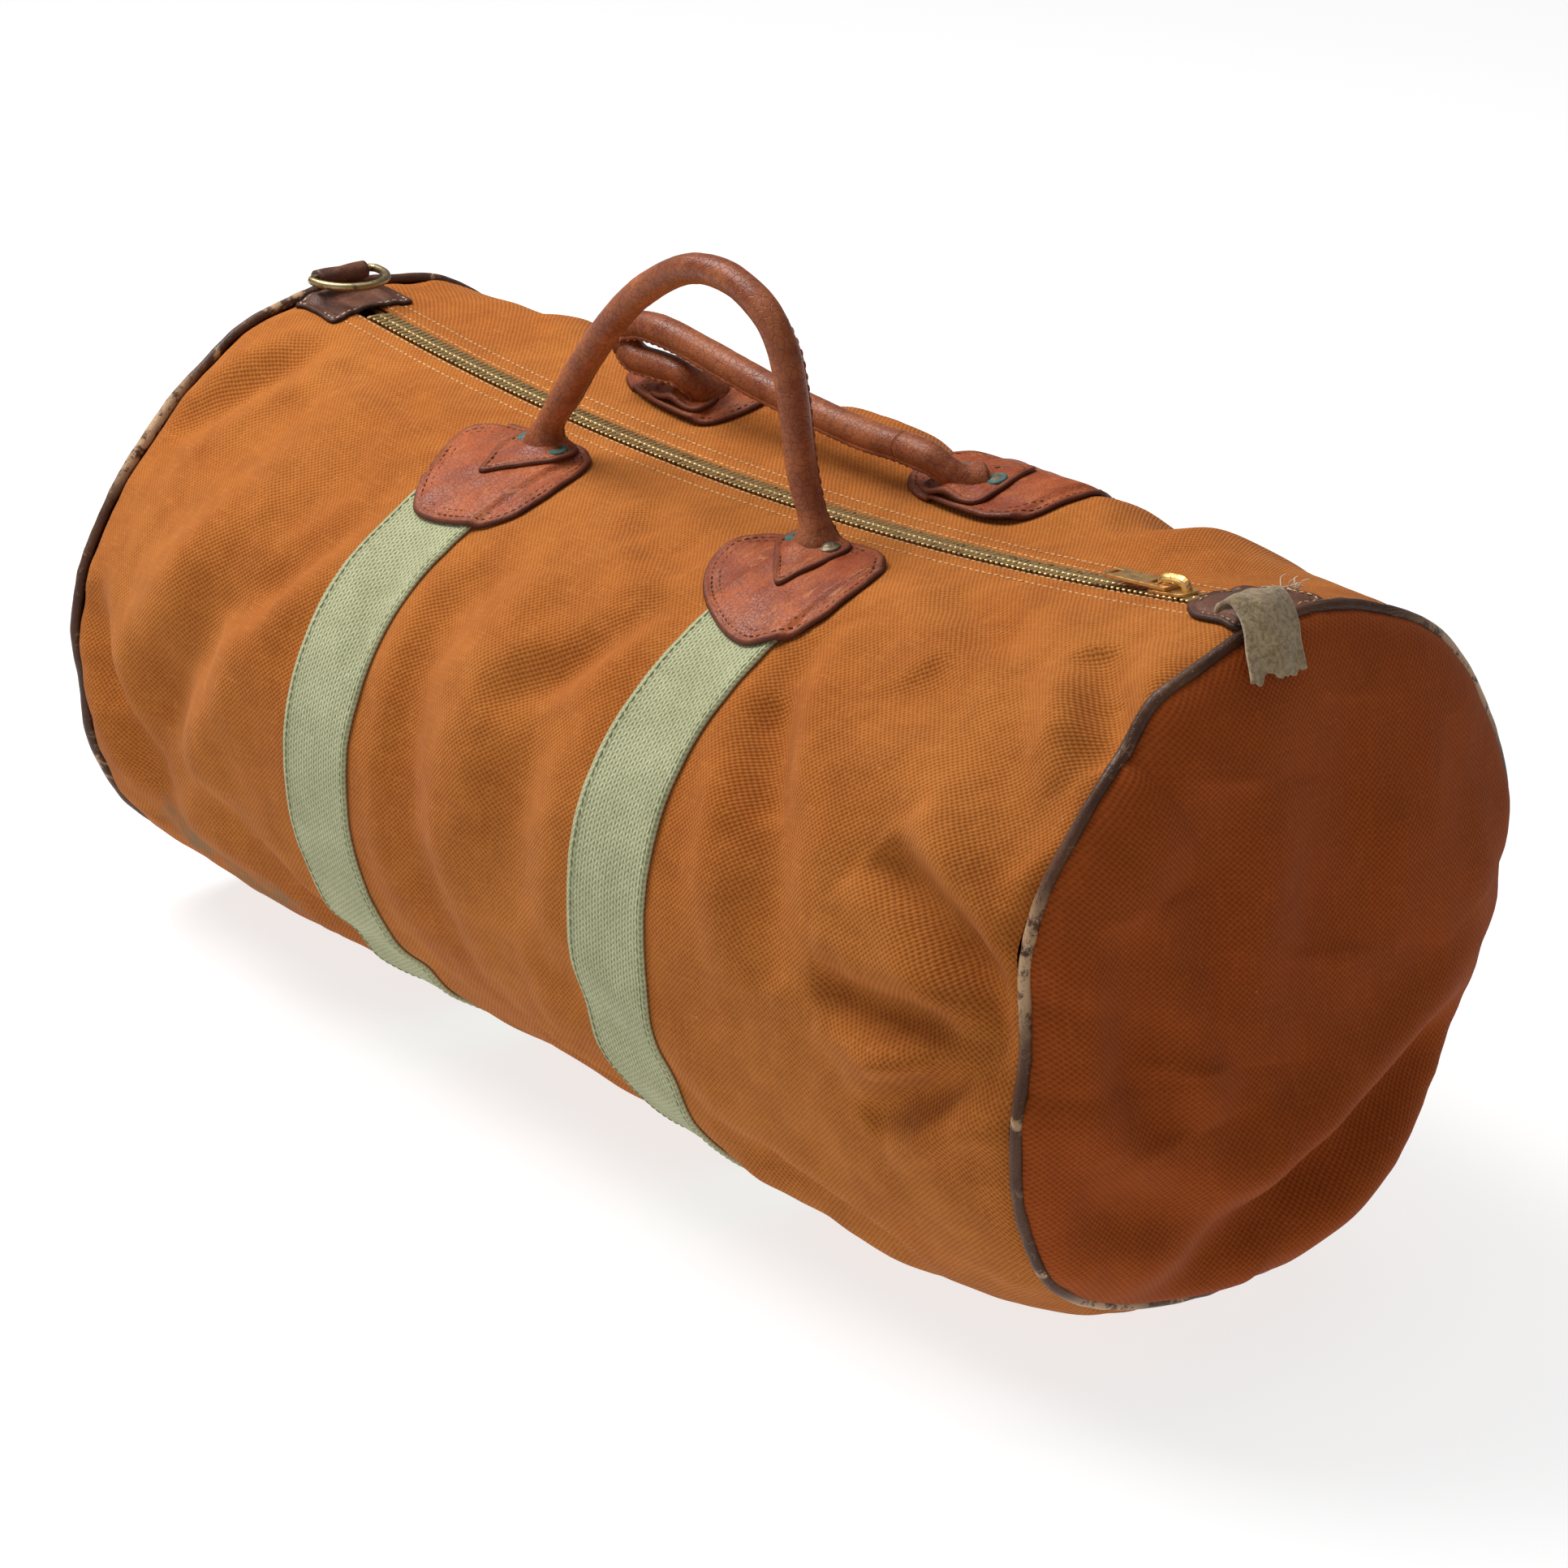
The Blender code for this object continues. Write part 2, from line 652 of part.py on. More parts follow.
def build_pull(parts, cutters, finish):
    """A flat plate whose end window goes round the bridge; its end bar is the hinge."""
    place = along_zip(SLIDER_X, PULL_AXIS_LIFT) @ Matrix.Rotation(math.radians(3.0), 4, "Y")
    pull = box("zipper_pull", (-0.0375, -0.0055, -0.0008), (0.0008, 0.0055, 0.0008), parts, finish["gilt"])
    window = box("pull_window", (-0.0115, -0.0034, -0.004), (-0.0008, 0.0034, 0.004), cutters)
    slot = box("pull_slot", (-0.0350, -0.0030, -0.004), (-0.0320, 0.0030, 0.004), cutters)
    for piece in (pull, window, slot):
        piece.matrix_world = place
    rounded = pull.modifiers.new("rounded", "BEVEL")
    rounded.width = 0.0004
    boolean(pull, window, "DIFFERENCE")
    boolean(pull, slot, "DIFFERENCE")
    return pull


# ---------------------------------------------------------------- end fittings


def build_end_patches(parts, finish):
    left = [(-0.3315, -0.023), (-0.3315, 0.023), (-0.3090, 0.0235), (-0.2985, 0.0200),
            (-0.2965, 0.0), (-0.2985, -0.0200), (-0.3090, -0.0235)]
    wrapped("zip_patch_left", flat_disc(left, rings=3), END_PATCH_LAYER, finish["dark"], parts)
    bow = [(0.3315, -0.0215)]
    for index in range(9):
        angle = math.pi * index / 8
        bow.append((0.3120 - 0.0170 * math.sin(angle), -0.0215 * math.cos(angle)))
    bow.append((0.3315, 0.0215))
    wrapped("zip_tab_right", flat_disc(bow, rings=3), END_PATCH_LAYER, finish["dark"], parts)


def ring_axis():
    """The centre of the D-ring's bar."""
    lift = END_PATCH_LAYER[1] + 0.0004 + ROLL_RADIUS
    return Vector((RING_X, 0, zip_height(RING_X) + lift))


def build_ring_loop(parts, finish):
    """Leather rolled round the D-ring's bar, with a foot that is sewn to the patch."""
    curve = bpy.data.curves.new("d_ring_loop", "CURVE")
    curve.dimensions = "2D"
    curve.fill_mode = "BOTH"
    curve.extrude = ROLL_HALF_LENGTH
    outer = [(-0.0050, -ROLL_RADIUS), (0.0, -ROLL_RADIUS)]
    for index in range(1, 15):
        angle = -math.pi / 2 + (math.pi * 1.28) * index / 14
        outer.append((ROLL_RADIUS * math.cos(angle), ROLL_RADIUS * math.sin(angle)))
    bore = [(ROLL_BORE * math.cos(math.tau * k / 14), ROLL_BORE * math.sin(math.tau * k / 14)) for k in range(14)]
    for points in (outer, bore):
        spline = curve.splines.new("POLY")
        spline.points.add(len(points) - 1)
        spline.use_cyclic_u = True
        for point, (x, z) in zip(spline.points, points):
            point.co = (x, z, 0, 1)
    obj = bpy.data.objects.new("d_ring_loop", curve)
    curve.materials.append(finish["dark"])
    obj.matrix_world = Matrix.Translation(ring_axis()) @ Matrix.Rotation(math.pi / 2, 4, "X")
    parts.objects.link(obj)
    return obj


def build_d_ring(parts, finish):
    """A wire D that lies towards the zip; its bar is the hinge."""
    bar = RING_HALF_WIDTH - RING_CORNER
    corner = [(RING_CORNER * (1 - math.cos(a)), bar + RING_CORNER * math.sin(a))
              for a in (0, math.pi / 6, math.pi / 3, math.pi / 2)]
    bow = []
    for index in range(1, 14):
        angle = math.pi * index / 14
        bow.append((RING_CORNER + (RING_DEPTH - RING_CORNER) * math.sin(angle) ** 0.9,
                    RING_HALF_WIDTH * math.cos(angle)))
    outline = corner + bow + [(x, -y) for x, y in reversed(corner)] + [(0, -bar / 2), (0, 0), (0, bar / 2)]
    points = [Vector((x, y, 0)) for x, y in outline]
    obj = tube_curve("d_ring", points, RING_WIRE, parts, finish["brass"], cyclic=True)
    obj.location = ring_axis()
    return obj


def build_suede_loop(parts, finish):
    """The torn suede end that comes up off the tab, over the piping and down the end panel."""
    top = zip_height(HALF_LENGTH)
    route = [(0.3215, top + 0.0012), (0.3240, top + 0.0066), (0.3310, top + 0.0092), (0.3400, top + 0.0082),
             (0.3470, top + 0.0030), (0.3520, top - 0.0050), (0.3560, top - 0.0130), (0.3585, top - 0.0200)]
    points = smooth_through([(x, 0, z) for x, z in route], 14)
    bm = bmesh.new()
    first_edge = -0.0340
    verts = [bm.verts.new((p.x, first_edge, p.z)) for p in points]
    edges = [bm.edges.new(pair) for pair in zip(verts, verts[1:])]
    made = bmesh.ops.extrude_edge_only(bm, edges=edges)["geom"]
    moved = [item for item in made if isinstance(item, bmesh.types.BMVert)]
    bmesh.ops.translate(bm, vec=(0, 0.034, 0), verts=moved)
    bmesh.ops.recalc_face_normals(bm, faces=bm.faces)
    obj = add_object("suede_loop_right", mesh_from(bm, "suede_loop_right"), finish["suede"], parts)
    wall = obj.modifiers.new("wall", "SOLIDIFY")
    wall.thickness = LEATHER
    wall.offset = 0
    return obj


# ---------------------------------------------------------------- the whole bag


def finishes():
    return {
        "canvas": make_material("rust canvas", (0.42, 0.15, 0.035), 0.85),
        "panel": make_material("end canvas", (0.34, 0.10, 0.024), 0.85),
        "piping": make_material("piping leather", (0.06, 0.028, 0.016), 0.45),
        "webbing": make_material("sage webbing", (0.30, 0.34, 0.17), 0.9),
        "patch": make_material("cognac leather", (0.38, 0.12, 0.045), 0.5),
        "handle": make_material("handle leather", (0.26, 0.07, 0.025), 0.4),
        "dark": make_material("dark leather", (0.06, 0.03, 0.02), 0.5),
        "rope": make_material("rope core", (0.55, 0.48, 0.36), 0.9),
        "rivet": make_material("verdigris rivet", (0.20, 0.30, 0.28), 0.45, 0.8),
        "brass": make_material("antique brass", (0.28, 0.20, 0.09), 0.4, 0.9),
        "gilt": make_material("bright brass", (0.70, 0.50, 0.20), 0.3, 1.0),
        "tape": make_material("zip tape", (0.38, 0.20, 0.06), 0.9),
        "suede": make_material("olive suede", (0.26, 0.21, 0.11), 0.95),
    }


def build_bag():
    clear_scene()
    parts = new_collection("duffel_bag")
    cutters = new_collection("cutters")
    finish = finishes()

    drilled = [build_canvas(parts, finish)]
    for name, side in (("left", -1), ("right", 1)):
        build_end_panel("end_panel_" + name, side, parts, finish)
        build_piping("piping_" + name, side, parts, finish)
        drilled.append(build_strap("strap_" + name, side * STRAP_X, parts, finish))

    places = []
    for front, facing, rivet_s in (("front", 1, FRONT_RIVET_S), ("back", -1, BACK_RIVET_S)):
        for name, side, base in (("left", -1, LEFT_BASE_X), ("right", 1, RIGHT_BASE_X)):
            where = front + "_" + name
            middle = side * STRAP_X
            drilled.append(build_patch("handle_patch_" + where, middle, facing, parts, finish))
            drilled.append(build_chape("handle_chape_" + where, base, facing, parts, finish))
            for end, offset in (("a", -RIVET_OFFSET), ("b", RIVET_OFFSET)):
                place = (base + offset, facing * rivet_s)
                build_rivet("rivet_" + where + "_" + end, *place, parts, finish)
                places.append(place)
    holes = build_rivet_holes(places, cutters)
    for obj in drilled:
        boolean(obj, holes, "DIFFERENCE")

    build_handle("front_handle", FRONT_HANDLE_ROUTE, FRONT_HINGE, parts, finish)
    build_handle("back_handle", BACK_HANDLE_ROUTE, BACK_HINGE, parts, finish)
    build_zip_rows(parts, finish)
    build_slider(parts, cutters, finish)
    build_pull(parts, cutters, finish)
    build_end_patches(parts, finish)
    build_ring_loop(parts, finish)
    build_d_ring(parts, finish)
    build_suede_loop(parts, finish)
    for obj in [*parts.objects, *cutters.objects]:
        obj.location.x -= CENTRE_X


build_bag()
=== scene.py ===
"""The looks of a worn canvas duffel bag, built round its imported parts.

Most pieces are drawn flat as (x, s, d): x along the bag, s round it from the zip line with the front
positive, and d off the canvas. The skin then lays them on the stuffed bag, creases and all.
"""

import logging
import math
from dataclasses import dataclass, field
from enum import Enum
from typing import Callable, Sequence

import bmesh
import bpy
import numpy as np
from bmesh.types import BMEdge, BMesh, BMVert
from bpy.types import Material, Node, NodeSocket, NodeTree, Object
from mathutils import Matrix, Vector

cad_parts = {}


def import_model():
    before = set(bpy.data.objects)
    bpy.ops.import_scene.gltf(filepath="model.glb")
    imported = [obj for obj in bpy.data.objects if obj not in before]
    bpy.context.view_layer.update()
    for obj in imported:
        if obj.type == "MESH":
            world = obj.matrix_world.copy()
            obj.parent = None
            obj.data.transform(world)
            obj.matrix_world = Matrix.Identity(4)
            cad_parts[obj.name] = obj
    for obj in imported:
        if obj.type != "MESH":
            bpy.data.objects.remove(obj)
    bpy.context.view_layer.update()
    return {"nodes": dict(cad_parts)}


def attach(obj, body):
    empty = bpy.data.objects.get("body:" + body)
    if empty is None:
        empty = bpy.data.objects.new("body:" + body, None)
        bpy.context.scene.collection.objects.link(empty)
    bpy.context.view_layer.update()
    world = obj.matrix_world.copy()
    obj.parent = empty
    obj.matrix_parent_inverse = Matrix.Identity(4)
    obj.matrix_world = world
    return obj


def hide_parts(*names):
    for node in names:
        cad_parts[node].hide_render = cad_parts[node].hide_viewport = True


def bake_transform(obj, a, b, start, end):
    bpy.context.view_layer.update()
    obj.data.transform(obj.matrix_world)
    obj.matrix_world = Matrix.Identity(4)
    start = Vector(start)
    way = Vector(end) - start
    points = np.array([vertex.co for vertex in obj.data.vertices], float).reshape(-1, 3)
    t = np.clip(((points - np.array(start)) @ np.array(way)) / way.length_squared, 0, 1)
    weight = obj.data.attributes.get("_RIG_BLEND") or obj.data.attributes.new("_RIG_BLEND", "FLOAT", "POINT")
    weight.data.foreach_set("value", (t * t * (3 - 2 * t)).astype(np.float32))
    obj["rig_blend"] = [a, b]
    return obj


LOG = logging.getLogger("duffel")
CLOTH_UV = "cloth"


# ---------------------------------------------------------------- the bag's form


FOLD_DEPTH = 1.9
CLOTH_RIPPLES = ((0.0016, 0.130, 3), (0.0007, 0.045, 4), (0.00025, 0.018, 5))


@dataclass(frozen=True)
class Fold:
    """A crease or ridge in cloth that runs between two points (x, s) and dies out at both."""

    start: tuple[float, float]
    end: tuple[float, float]
    width: float
    height: float
    bow: float = 0.0
    lip: float = 0.5

    def relief(self, x: np.ndarray, s: np.ndarray) -> np.ndarray:
        """How far the fold lifts the cloth.

        Args:
            x: Places along the bag.
            s: Places round the bag.

        Returns:
            The lift at each place, in metres.
        """
        ax, ay = self.start
        bx, by = self.end[0] - ax, self.end[1] - ay
        length = math.hypot(bx, by)
        t = ((x - ax) * bx + (s - ay) * by) / length**2
        aside = ((s - ay) * bx - (x - ax) * by) / length
        inside = np.clip(t, 0.0, 1.0)
        aside = aside + self.bow * 4 * inside * (1 - inside)
        past = np.maximum(np.abs(t - 0.5) - 0.5, 0.0) * length
        taper = np.sqrt(np.clip(4 * inside * (1 - inside), 0.0, 1.0)) * np.exp(-((past / self.width) ** 2))
        q = aside / self.width
        shape = np.exp(-(q**2)) - self.lip * np.exp(-((np.abs(q) - 1.7) ** 2))
        return self.height * FOLD_DEPTH * taper * shape


@dataclass(frozen=True)
class Dent:
    """A round hollow, or a bulge where its height is positive."""

    place: tuple[float, float]
    radii: tuple[float, float]
    height: float

    def relief(self, x: np.ndarray, s: np.ndarray) -> np.ndarray:
        """How far the dent lifts the cloth at each (x, s)."""
        q = ((x - self.place[0]) / self.radii[0]) ** 2 + ((s - self.place[1]) / self.radii[1]) ** 2
        return self.height * np.exp(-q)


def ripples(points: np.ndarray, size: float, seed: int, count: int = 18) -> np.ndarray:
    """Smooth unevenness made of many waves of about one size.

    Args:
        points: Places in space, with the three numbers last.
        size: The usual length of a wave, in metres.
        seed: Picks the pattern.
        count: How many waves are added.

    Returns:
        A value of about -1 to 1 for each place.
    """
    rng = np.random.default_rng(seed)
    total = np.zeros(points.shape[:-1])
    for _ in range(count):
        heading = rng.normal(size=3)
        heading /= np.linalg.norm(heading)
        reach = math.tau / (size * rng.uniform(0.7, 1.5))
        total += np.sin(points @ (heading * reach) + rng.uniform(0, math.tau))
    return total / math.sqrt(count)


def smooth_step(value: np.ndarray, low: float, high: float) -> np.ndarray:
    """0 below low, 1 above high, and an even S between them."""
    t = np.clip((value - low) / (high - low), 0.0, 1.0)
    return t * t * (3 - 2 * t)


@dataclass(frozen=True)
class BagShape:
    """The sizes of the stuffed bag's skin, in metres, with x measured from the middle between its end seams."""

    half_length: float = 0.3365
    middle_half_width: float = 0.165
    right_half_width: float = 0.138
    left_half_width: float = 0.153
    widest_height: float = 0.148
    widest_drop: float = 0.006
    bottom_dip: float = 0.004
    right_rise: float = 0.030
    left_rise: float = 0.012
    roundness: float = 2.1
    lower_roundness: float = 2.0
    right_lower_front: float = 2.9
    right_lower_back: float = 1.6
    left_lower: float = 2.4
    left_upper_front: float = 1.72
    back_pull: float = 0.22
    back_pull_top: float = 0.225
    back_pull_depth: float = 0.100
    shoulder_rise: float = 0.0285
    shoulder_y: float = 0.078
    shoulder_spread: float = 0.050
    shoulder_start: float = 0.045
    shoulder_fade: float = 0.86
    zip_radius: float = 2.200
    zip_centre_x: float = -0.0696
    zip_lowest: float = 0.2768
    right_bulge: float = 0.0260
    left_bulge: float = 0.0060
    rest_height: float = 0.0024
    centre_x: float = 0.010

    def zip_height(self, x: float) -> float:
        """Height of the zip line at x."""
        return self.zip_lowest + self.zip_radius - math.sqrt(self.zip_radius**2 - (x - self.zip_centre_x) ** 2)

    def widest(self, x: float) -> float:
        """Height at which the bag is widest at x."""
        return self.widest_height - self.widest_drop * min(abs(x) / self.half_length, 1.0) ** 3

    def skin(self, x: float, turn: np.ndarray) -> np.ndarray:
        """Points of the smooth skin at x, for turns from 0.25 (the zip) over the front and round.

        Args:
            x: The place along the bag.
            turn: Turns round it.

        Returns:
            One point for each turn.
        """
        along = min(abs(x) / self.half_length, 1.0)
        right = x > 0
        end_width = self.right_half_width if right else self.left_half_width
        half_width = self.middle_half_width - (self.middle_half_width - end_width) * along**3
        widest = self.widest(x)
        bottom = (self.right_rise if right else self.left_rise) * along**8 - self.bottom_dip
        across = np.cos(math.tau * turn)
        up = np.sin(math.tau * turn)
        base = self.lower_roundness
        if right:
            upper_front = self.roundness
            lower_front = base + (self.right_lower_front - base) * along**2
            lower_back = base + (self.right_lower_back - base) * along**4
        else:
            upper_front = self.roundness + (self.left_upper_front - self.roundness) * along**4
            lower_front = base + (self.left_lower - base) * along**2
            lower_back = lower_front
        front = across < 0
        upper = np.where(front, upper_front, self.roundness)
        power = 2 / np.where(up > 0, upper, np.where(front, lower_front, lower_back))
        y = half_width * np.sign(across) * np.abs(across) ** power
        reach = np.where(up > 0, self.zip_height(x) - widest, widest - bottom)
        z = widest + reach * np.sign(up) * np.abs(up) ** power
        sunk = smooth_step(self.back_pull_top - z, 0.0, self.back_pull_depth)
        pull = self.back_pull * max(x / self.half_length, 0.0) ** 4
        y = y * np.where(across > 0, 1 - pull * sunk, 1)
        fade = max(0.0, 1 - self.shoulder_fade * (x / self.half_length) ** 2)
        bump = np.exp(-(((y - self.shoulder_y) / self.shoulder_spread) ** 2))
        start = 1 - np.exp(-((np.maximum(y, 0) / self.shoulder_start) ** 2))
        z = z + self.shoulder_rise * fade * bump * start * np.maximum(up, 0)
        return np.stack([np.full_like(y, x), y, z], -1)


BODY_FOLDS = (
    Fold((0.150, 0.120), (0.215, 0.235), 0.016, -0.0040, 0.010),
    Fold((0.255, 0.165), (0.330, 0.212), 0.011, -0.0076, 0.004),
    Fold((0.235, 0.225), (0.332, 0.222), 0.010, -0.0062, -0.005),
    Fold((0.262, 0.280), (0.333, 0.235), 0.010, -0.0058, 0.004),
    Fold((0.285, 0.055), (0.332, 0.105), 0.012, -0.0055, 0.004),
    Fold((0.215, 0.090), (0.326, 0.150), 0.018, -0.0035, 0.010),
    Fold((0.020, 0.100), (0.035, 0.260), 0.020, -0.0030, 0.010),
    Fold((-0.050, 0.110), (-0.015, 0.300), 0.018, -0.0030, -0.010),
    Fold((-0.170, 0.090), (-0.250, 0.250), 0.022, -0.0032, 0.012),
    Fold((-0.200, 0.150), (-0.300, 0.330), 0.020, -0.0035, 0.010),
    Fold((-0.180, 0.330), (-0.060, 0.350), 0.012, -0.0030, 0.006),
    Fold((-0.325, 0.200), (-0.270, 0.300), 0.014, -0.0040, 0.006),
    Fold((0.150, 0.330), (0.260, 0.365), 0.012, -0.0028, 0.004),
    Fold((0.020, 0.325), (0.075, 0.360), 0.010, -0.0024, 0.003),
    Fold((-0.280, 0.030), (-0.320, 0.120), 0.012, -0.0035, 0.006),
    Fold((-0.060, -0.060), (-0.010, -0.200), 0.018, -0.0035, 0.010),
    Fold((0.040, -0.060), (0.020, -0.230), 0.020, -0.0035, -0.010),
    Fold((0.180, -0.050), (0.250, -0.190), 0.018, -0.0040, 0.010),
    Fold((-0.180, -0.060), (-0.270, -0.220), 0.018, -0.0040, 0.010),
    Fold((0.250, -0.240), (0.332, -0.190), 0.014, -0.0050, 0.006),
    Fold((-0.250, -0.260), (-0.332, -0.200), 0.014, -0.0050, 0.006),
    Fold((-0.140, 0.105), (-0.200, 0.190), 0.012, -0.0026, 0.006),
    Fold((-0.100, 0.108), (-0.075, 0.210), 0.012, -0.0026, -0.006),
    Fold((0.060, 0.095), (0.005, 0.170), 0.011, -0.0026, 0.006),
    Fold((0.145, 0.085), (0.190, 0.170), 0.012, -0.0028, -0.006),
    Fold((-0.260, 0.040), (-0.140, 0.060), 0.012, -0.0022, 0.004),
    Fold((-0.020, 0.045), (0.050, 0.075), 0.012, -0.0022, -0.004),
    Fold((0.180, 0.040), (0.300, 0.100), 0.014, -0.0030, 0.008),
    Fold((0.050, 0.270), (0.160, 0.330), 0.014, -0.0026, 0.008),
    Fold((-0.240, 0.270), (-0.150, 0.330), 0.014, -0.0026, 0.008),
)
BODY_DENTS = (
    Dent((0.318, 0.212), (0.030, 0.026), -0.0060),
    Dent((0.326, 0.105), (0.022, 0.034), -0.0055),
    Dent((-0.322, 0.130), (0.030, 0.045), -0.0040),
    Dent((0.000, 0.200), (0.050, 0.080), 0.0022),
    Dent((0.215, 0.190), (0.040, 0.060), 0.0026),
    Dent((-0.215, 0.210), (0.045, 0.070), 0.0024),
)


@dataclass(frozen=True)
class Sewing:
    """How what is sewn to the canvas calms its creases, lifts it or sinks it, in metres."""

    strap_x: float = 0.1084
    strap_calm: float = 0.75
    strap_calm_reach: float = 0.036
    strap_sink: float = 0.0012
    strap_sink_reach: float = 0.034
    strap_sink_from: tuple[float, float] = (0.06, 0.12)
    handle_x: tuple[float, float] = (-0.1005, 0.0942)
    handle_s: float = 0.050
    handle_calm: float = 0.9
    handle_reach: tuple[float, float] = (0.040, 0.045)
    zip_calm: tuple[float, float] = (0.018, 0.055)
    under_calm: tuple[float, float] = (0.110, 0.050)
    hem_rows: tuple[tuple[float, float, float], ...] = (
        (0.0132, 0.0028, 0.0007), (0.0090, 0.0012, -0.0004), (0.0176, 0.0012, -0.0004))
    seam_width: float = 0.0055
    seam_sink: float = 0.0040
    gather_height: float = 0.0008
    gather_size: float = 0.022
    gather_reach: float = 4.5


class Skin:
    """The bag's skin as a fine table of points and normals, on which every piece is laid."""

    def __init__(self, shape: BagShape, folds: Sequence[Fold], dents: Sequence[Dent]) -> None:
        """Works out the table.

        Args:
            shape: The bag's sizes.
            folds: Creases in the cloth.
            dents: Hollows and bulges in the cloth.
        """
        self.shape = shape
        self.sewing = Sewing()
        self.xs = np.linspace(-shape.half_length, shape.half_length, 401)
        self.ss = np.linspace(-0.500, 0.500, 801)
        turns = np.linspace(0.25, 1.25, 721)
        smooth = np.empty((len(self.xs), len(self.ss), 3))
        self.girths = np.empty(len(self.xs))
        for i, x in enumerate(self.xs):
            lengths = distances(shape.skin(float(x), turns))
            self.girths[i] = lengths[-1]
            smooth[i] = shape.skin(float(x), np.interp(self.ss % lengths[-1], lengths, turns))
        s = self.ss[None, :] - self.girths[:, None] * np.round(self.ss[None, :] / self.girths[:, None])
        lift = self.creases(smooth, s, (*folds, *dents)) + self.sewn(smooth, s)
        self.points = smooth + self.normals_of(smooth) * lift[..., None]
        self.wave(s)
        self.normals = self.normals_of(self.points)

    def creases(self, smooth: np.ndarray, s: np.ndarray, items: Sequence[Fold | Dent]) -> np.ndarray:
        """The lift of folds, dents and unevenness, calmed near the zip, handles, straps and underside.

        Args:
            smooth: The points of the smooth skin.
            s: Places round the bag, for every point of the table.
            items: The folds and dents.

        Returns:
            The lift at every point.
        """
        sewing = self.sewing
        x = np.broadcast_to(self.xs[:, None], s.shape)
        lift = sum(height * ripples(smooth, size, seed) for height, size, seed in CLOTH_RIPPLES)
        for item in items:
            lift += item.relief(x, s)
        calm = smooth_step(np.abs(s), *sewing.zip_calm)
        wide, high = sewing.handle_reach
        for base in sewing.handle_x:
            near = ((x - base) / wide) ** 2 + ((np.abs(s) - sewing.handle_s) / high) ** 2
            calm = calm * (1 - sewing.handle_calm * np.exp(-near))
        half = self.girths[:, None] / 2
        first, last = sewing.under_calm
        calm = calm * (1 - smooth_step(np.abs(s), half - first, half - last))
        from_strap = (np.abs(x) - sewing.strap_x) / sewing.strap_calm_reach
        return lift * calm * (1 - sewing.strap_calm * np.exp(-(from_strap**4)))

    def sewn(self, smooth: np.ndarray, s: np.ndarray) -> np.ndarray:
        """The lift made by the straps, the hems beside the zip and the end seams.

        Args:
            smooth: The points of the smooth skin.
            s: Places round the bag, for every point of the table.

        Returns:
            The lift at every point.
        """
        sewing = self.sewing
        x = np.abs(self.xs[:, None])
        pressed = np.exp(-(((x - sewing.strap_x) / sewing.strap_sink_reach) ** 2))
        lift = -sewing.strap_sink * pressed * smooth_step(np.abs(s), *sewing.strap_sink_from)
        for place, width, height in sewing.hem_rows:
            lift = lift + height * np.exp(-(((np.abs(s) - place) / width) ** 2))
        to_seam = (self.shape.half_length - x) / sewing.seam_width
        lift = lift - sewing.seam_sink * np.exp(-(to_seam**1.2))
        gathers = ripples(smooth * np.array([0.25, 1.0, 1.0]), sewing.gather_size, 9)
        near = np.exp(-((to_seam / sewing.gather_reach) ** 2)) * (1 - np.exp(-(to_seam**2)))
        return lift + sewing.gather_height * gathers * near

    def wave(self, s: np.ndarray) -> None:
        """Lets each end seam wander along the bag a little, as a sewn ring does.

        Args:
            s: Places round the bag, for every point of the table.
        """
        reach = np.abs(self.xs / self.shape.half_length) ** 14
        right = 0.0035 * np.sin(s * 26.0 + 0.6) * np.exp(-(((s - 0.22) / 0.13) ** 2))
        right += 0.0012 * np.sin(s * 61.0)
        left = 0.0016 * np.sin(s * 31.0 + 1.0)
        end = np.where(self.xs[:, None] > 0, right, left)
        self.points[..., 0] += end * reach[:, None]

    @staticmethod
    def normals_of(points: np.ndarray) -> np.ndarray:
        """Outward unit normals of a table of points."""
        across = np.cross(np.gradient(points, axis=1), np.gradient(points, axis=0))
        return across / np.linalg.norm(across, axis=-1, keepdims=True)

    def girth(self, x: np.ndarray | float) -> np.ndarray | float:
        """Distance all the way round the bag at x."""
        return np.interp(x, self.xs, self.girths)

    def lay(self, flat: np.ndarray) -> np.ndarray:
        """Lays flat points on the bag.

        Args:
            flat: Rows of (x, s, d).

        Returns:
            Rows of points in the frame.
        """
        x, s, d = flat[:, 0], flat[:, 1], flat[:, 2]
        girth = self.girth(x)
        s = s - girth * np.round(s / girth)
        over = np.clip((x - self.xs[0]) / (self.xs[1] - self.xs[0]), 0, len(self.xs) - 1.001)
        round_it = np.clip((s - self.ss[0]) / (self.ss[1] - self.ss[0]), 0, len(self.ss) - 1.001)
        i, j = over.astype(int), round_it.astype(int)
        a, b = (over - i)[:, None], (round_it - j)[:, None]

        def between(table: np.ndarray) -> np.ndarray:
            """The table's values between its four nearest entries."""
            low = table[i, j] * (1 - b) + table[i, j + 1] * b
            high = table[i + 1, j] * (1 - b) + table[i + 1, j + 1] * b
            return low * (1 - a) + high * a

        normals = between(self.normals)
        normals /= np.linalg.norm(normals, axis=1, keepdims=True)
        laid = between(self.points) + normals * d[:, None]
        laid[:, 2] = np.maximum(laid[:, 2], self.shape.rest_height - d)
        laid[:, 0] -= self.shape.centre_x
        return laid

    def at(self, x: float, s: float, d: float = 0.0) -> Vector:
        """The point of the frame at one (x, s, d)."""
        return Vector(self.lay(np.array([[x, s, d]]))[0])

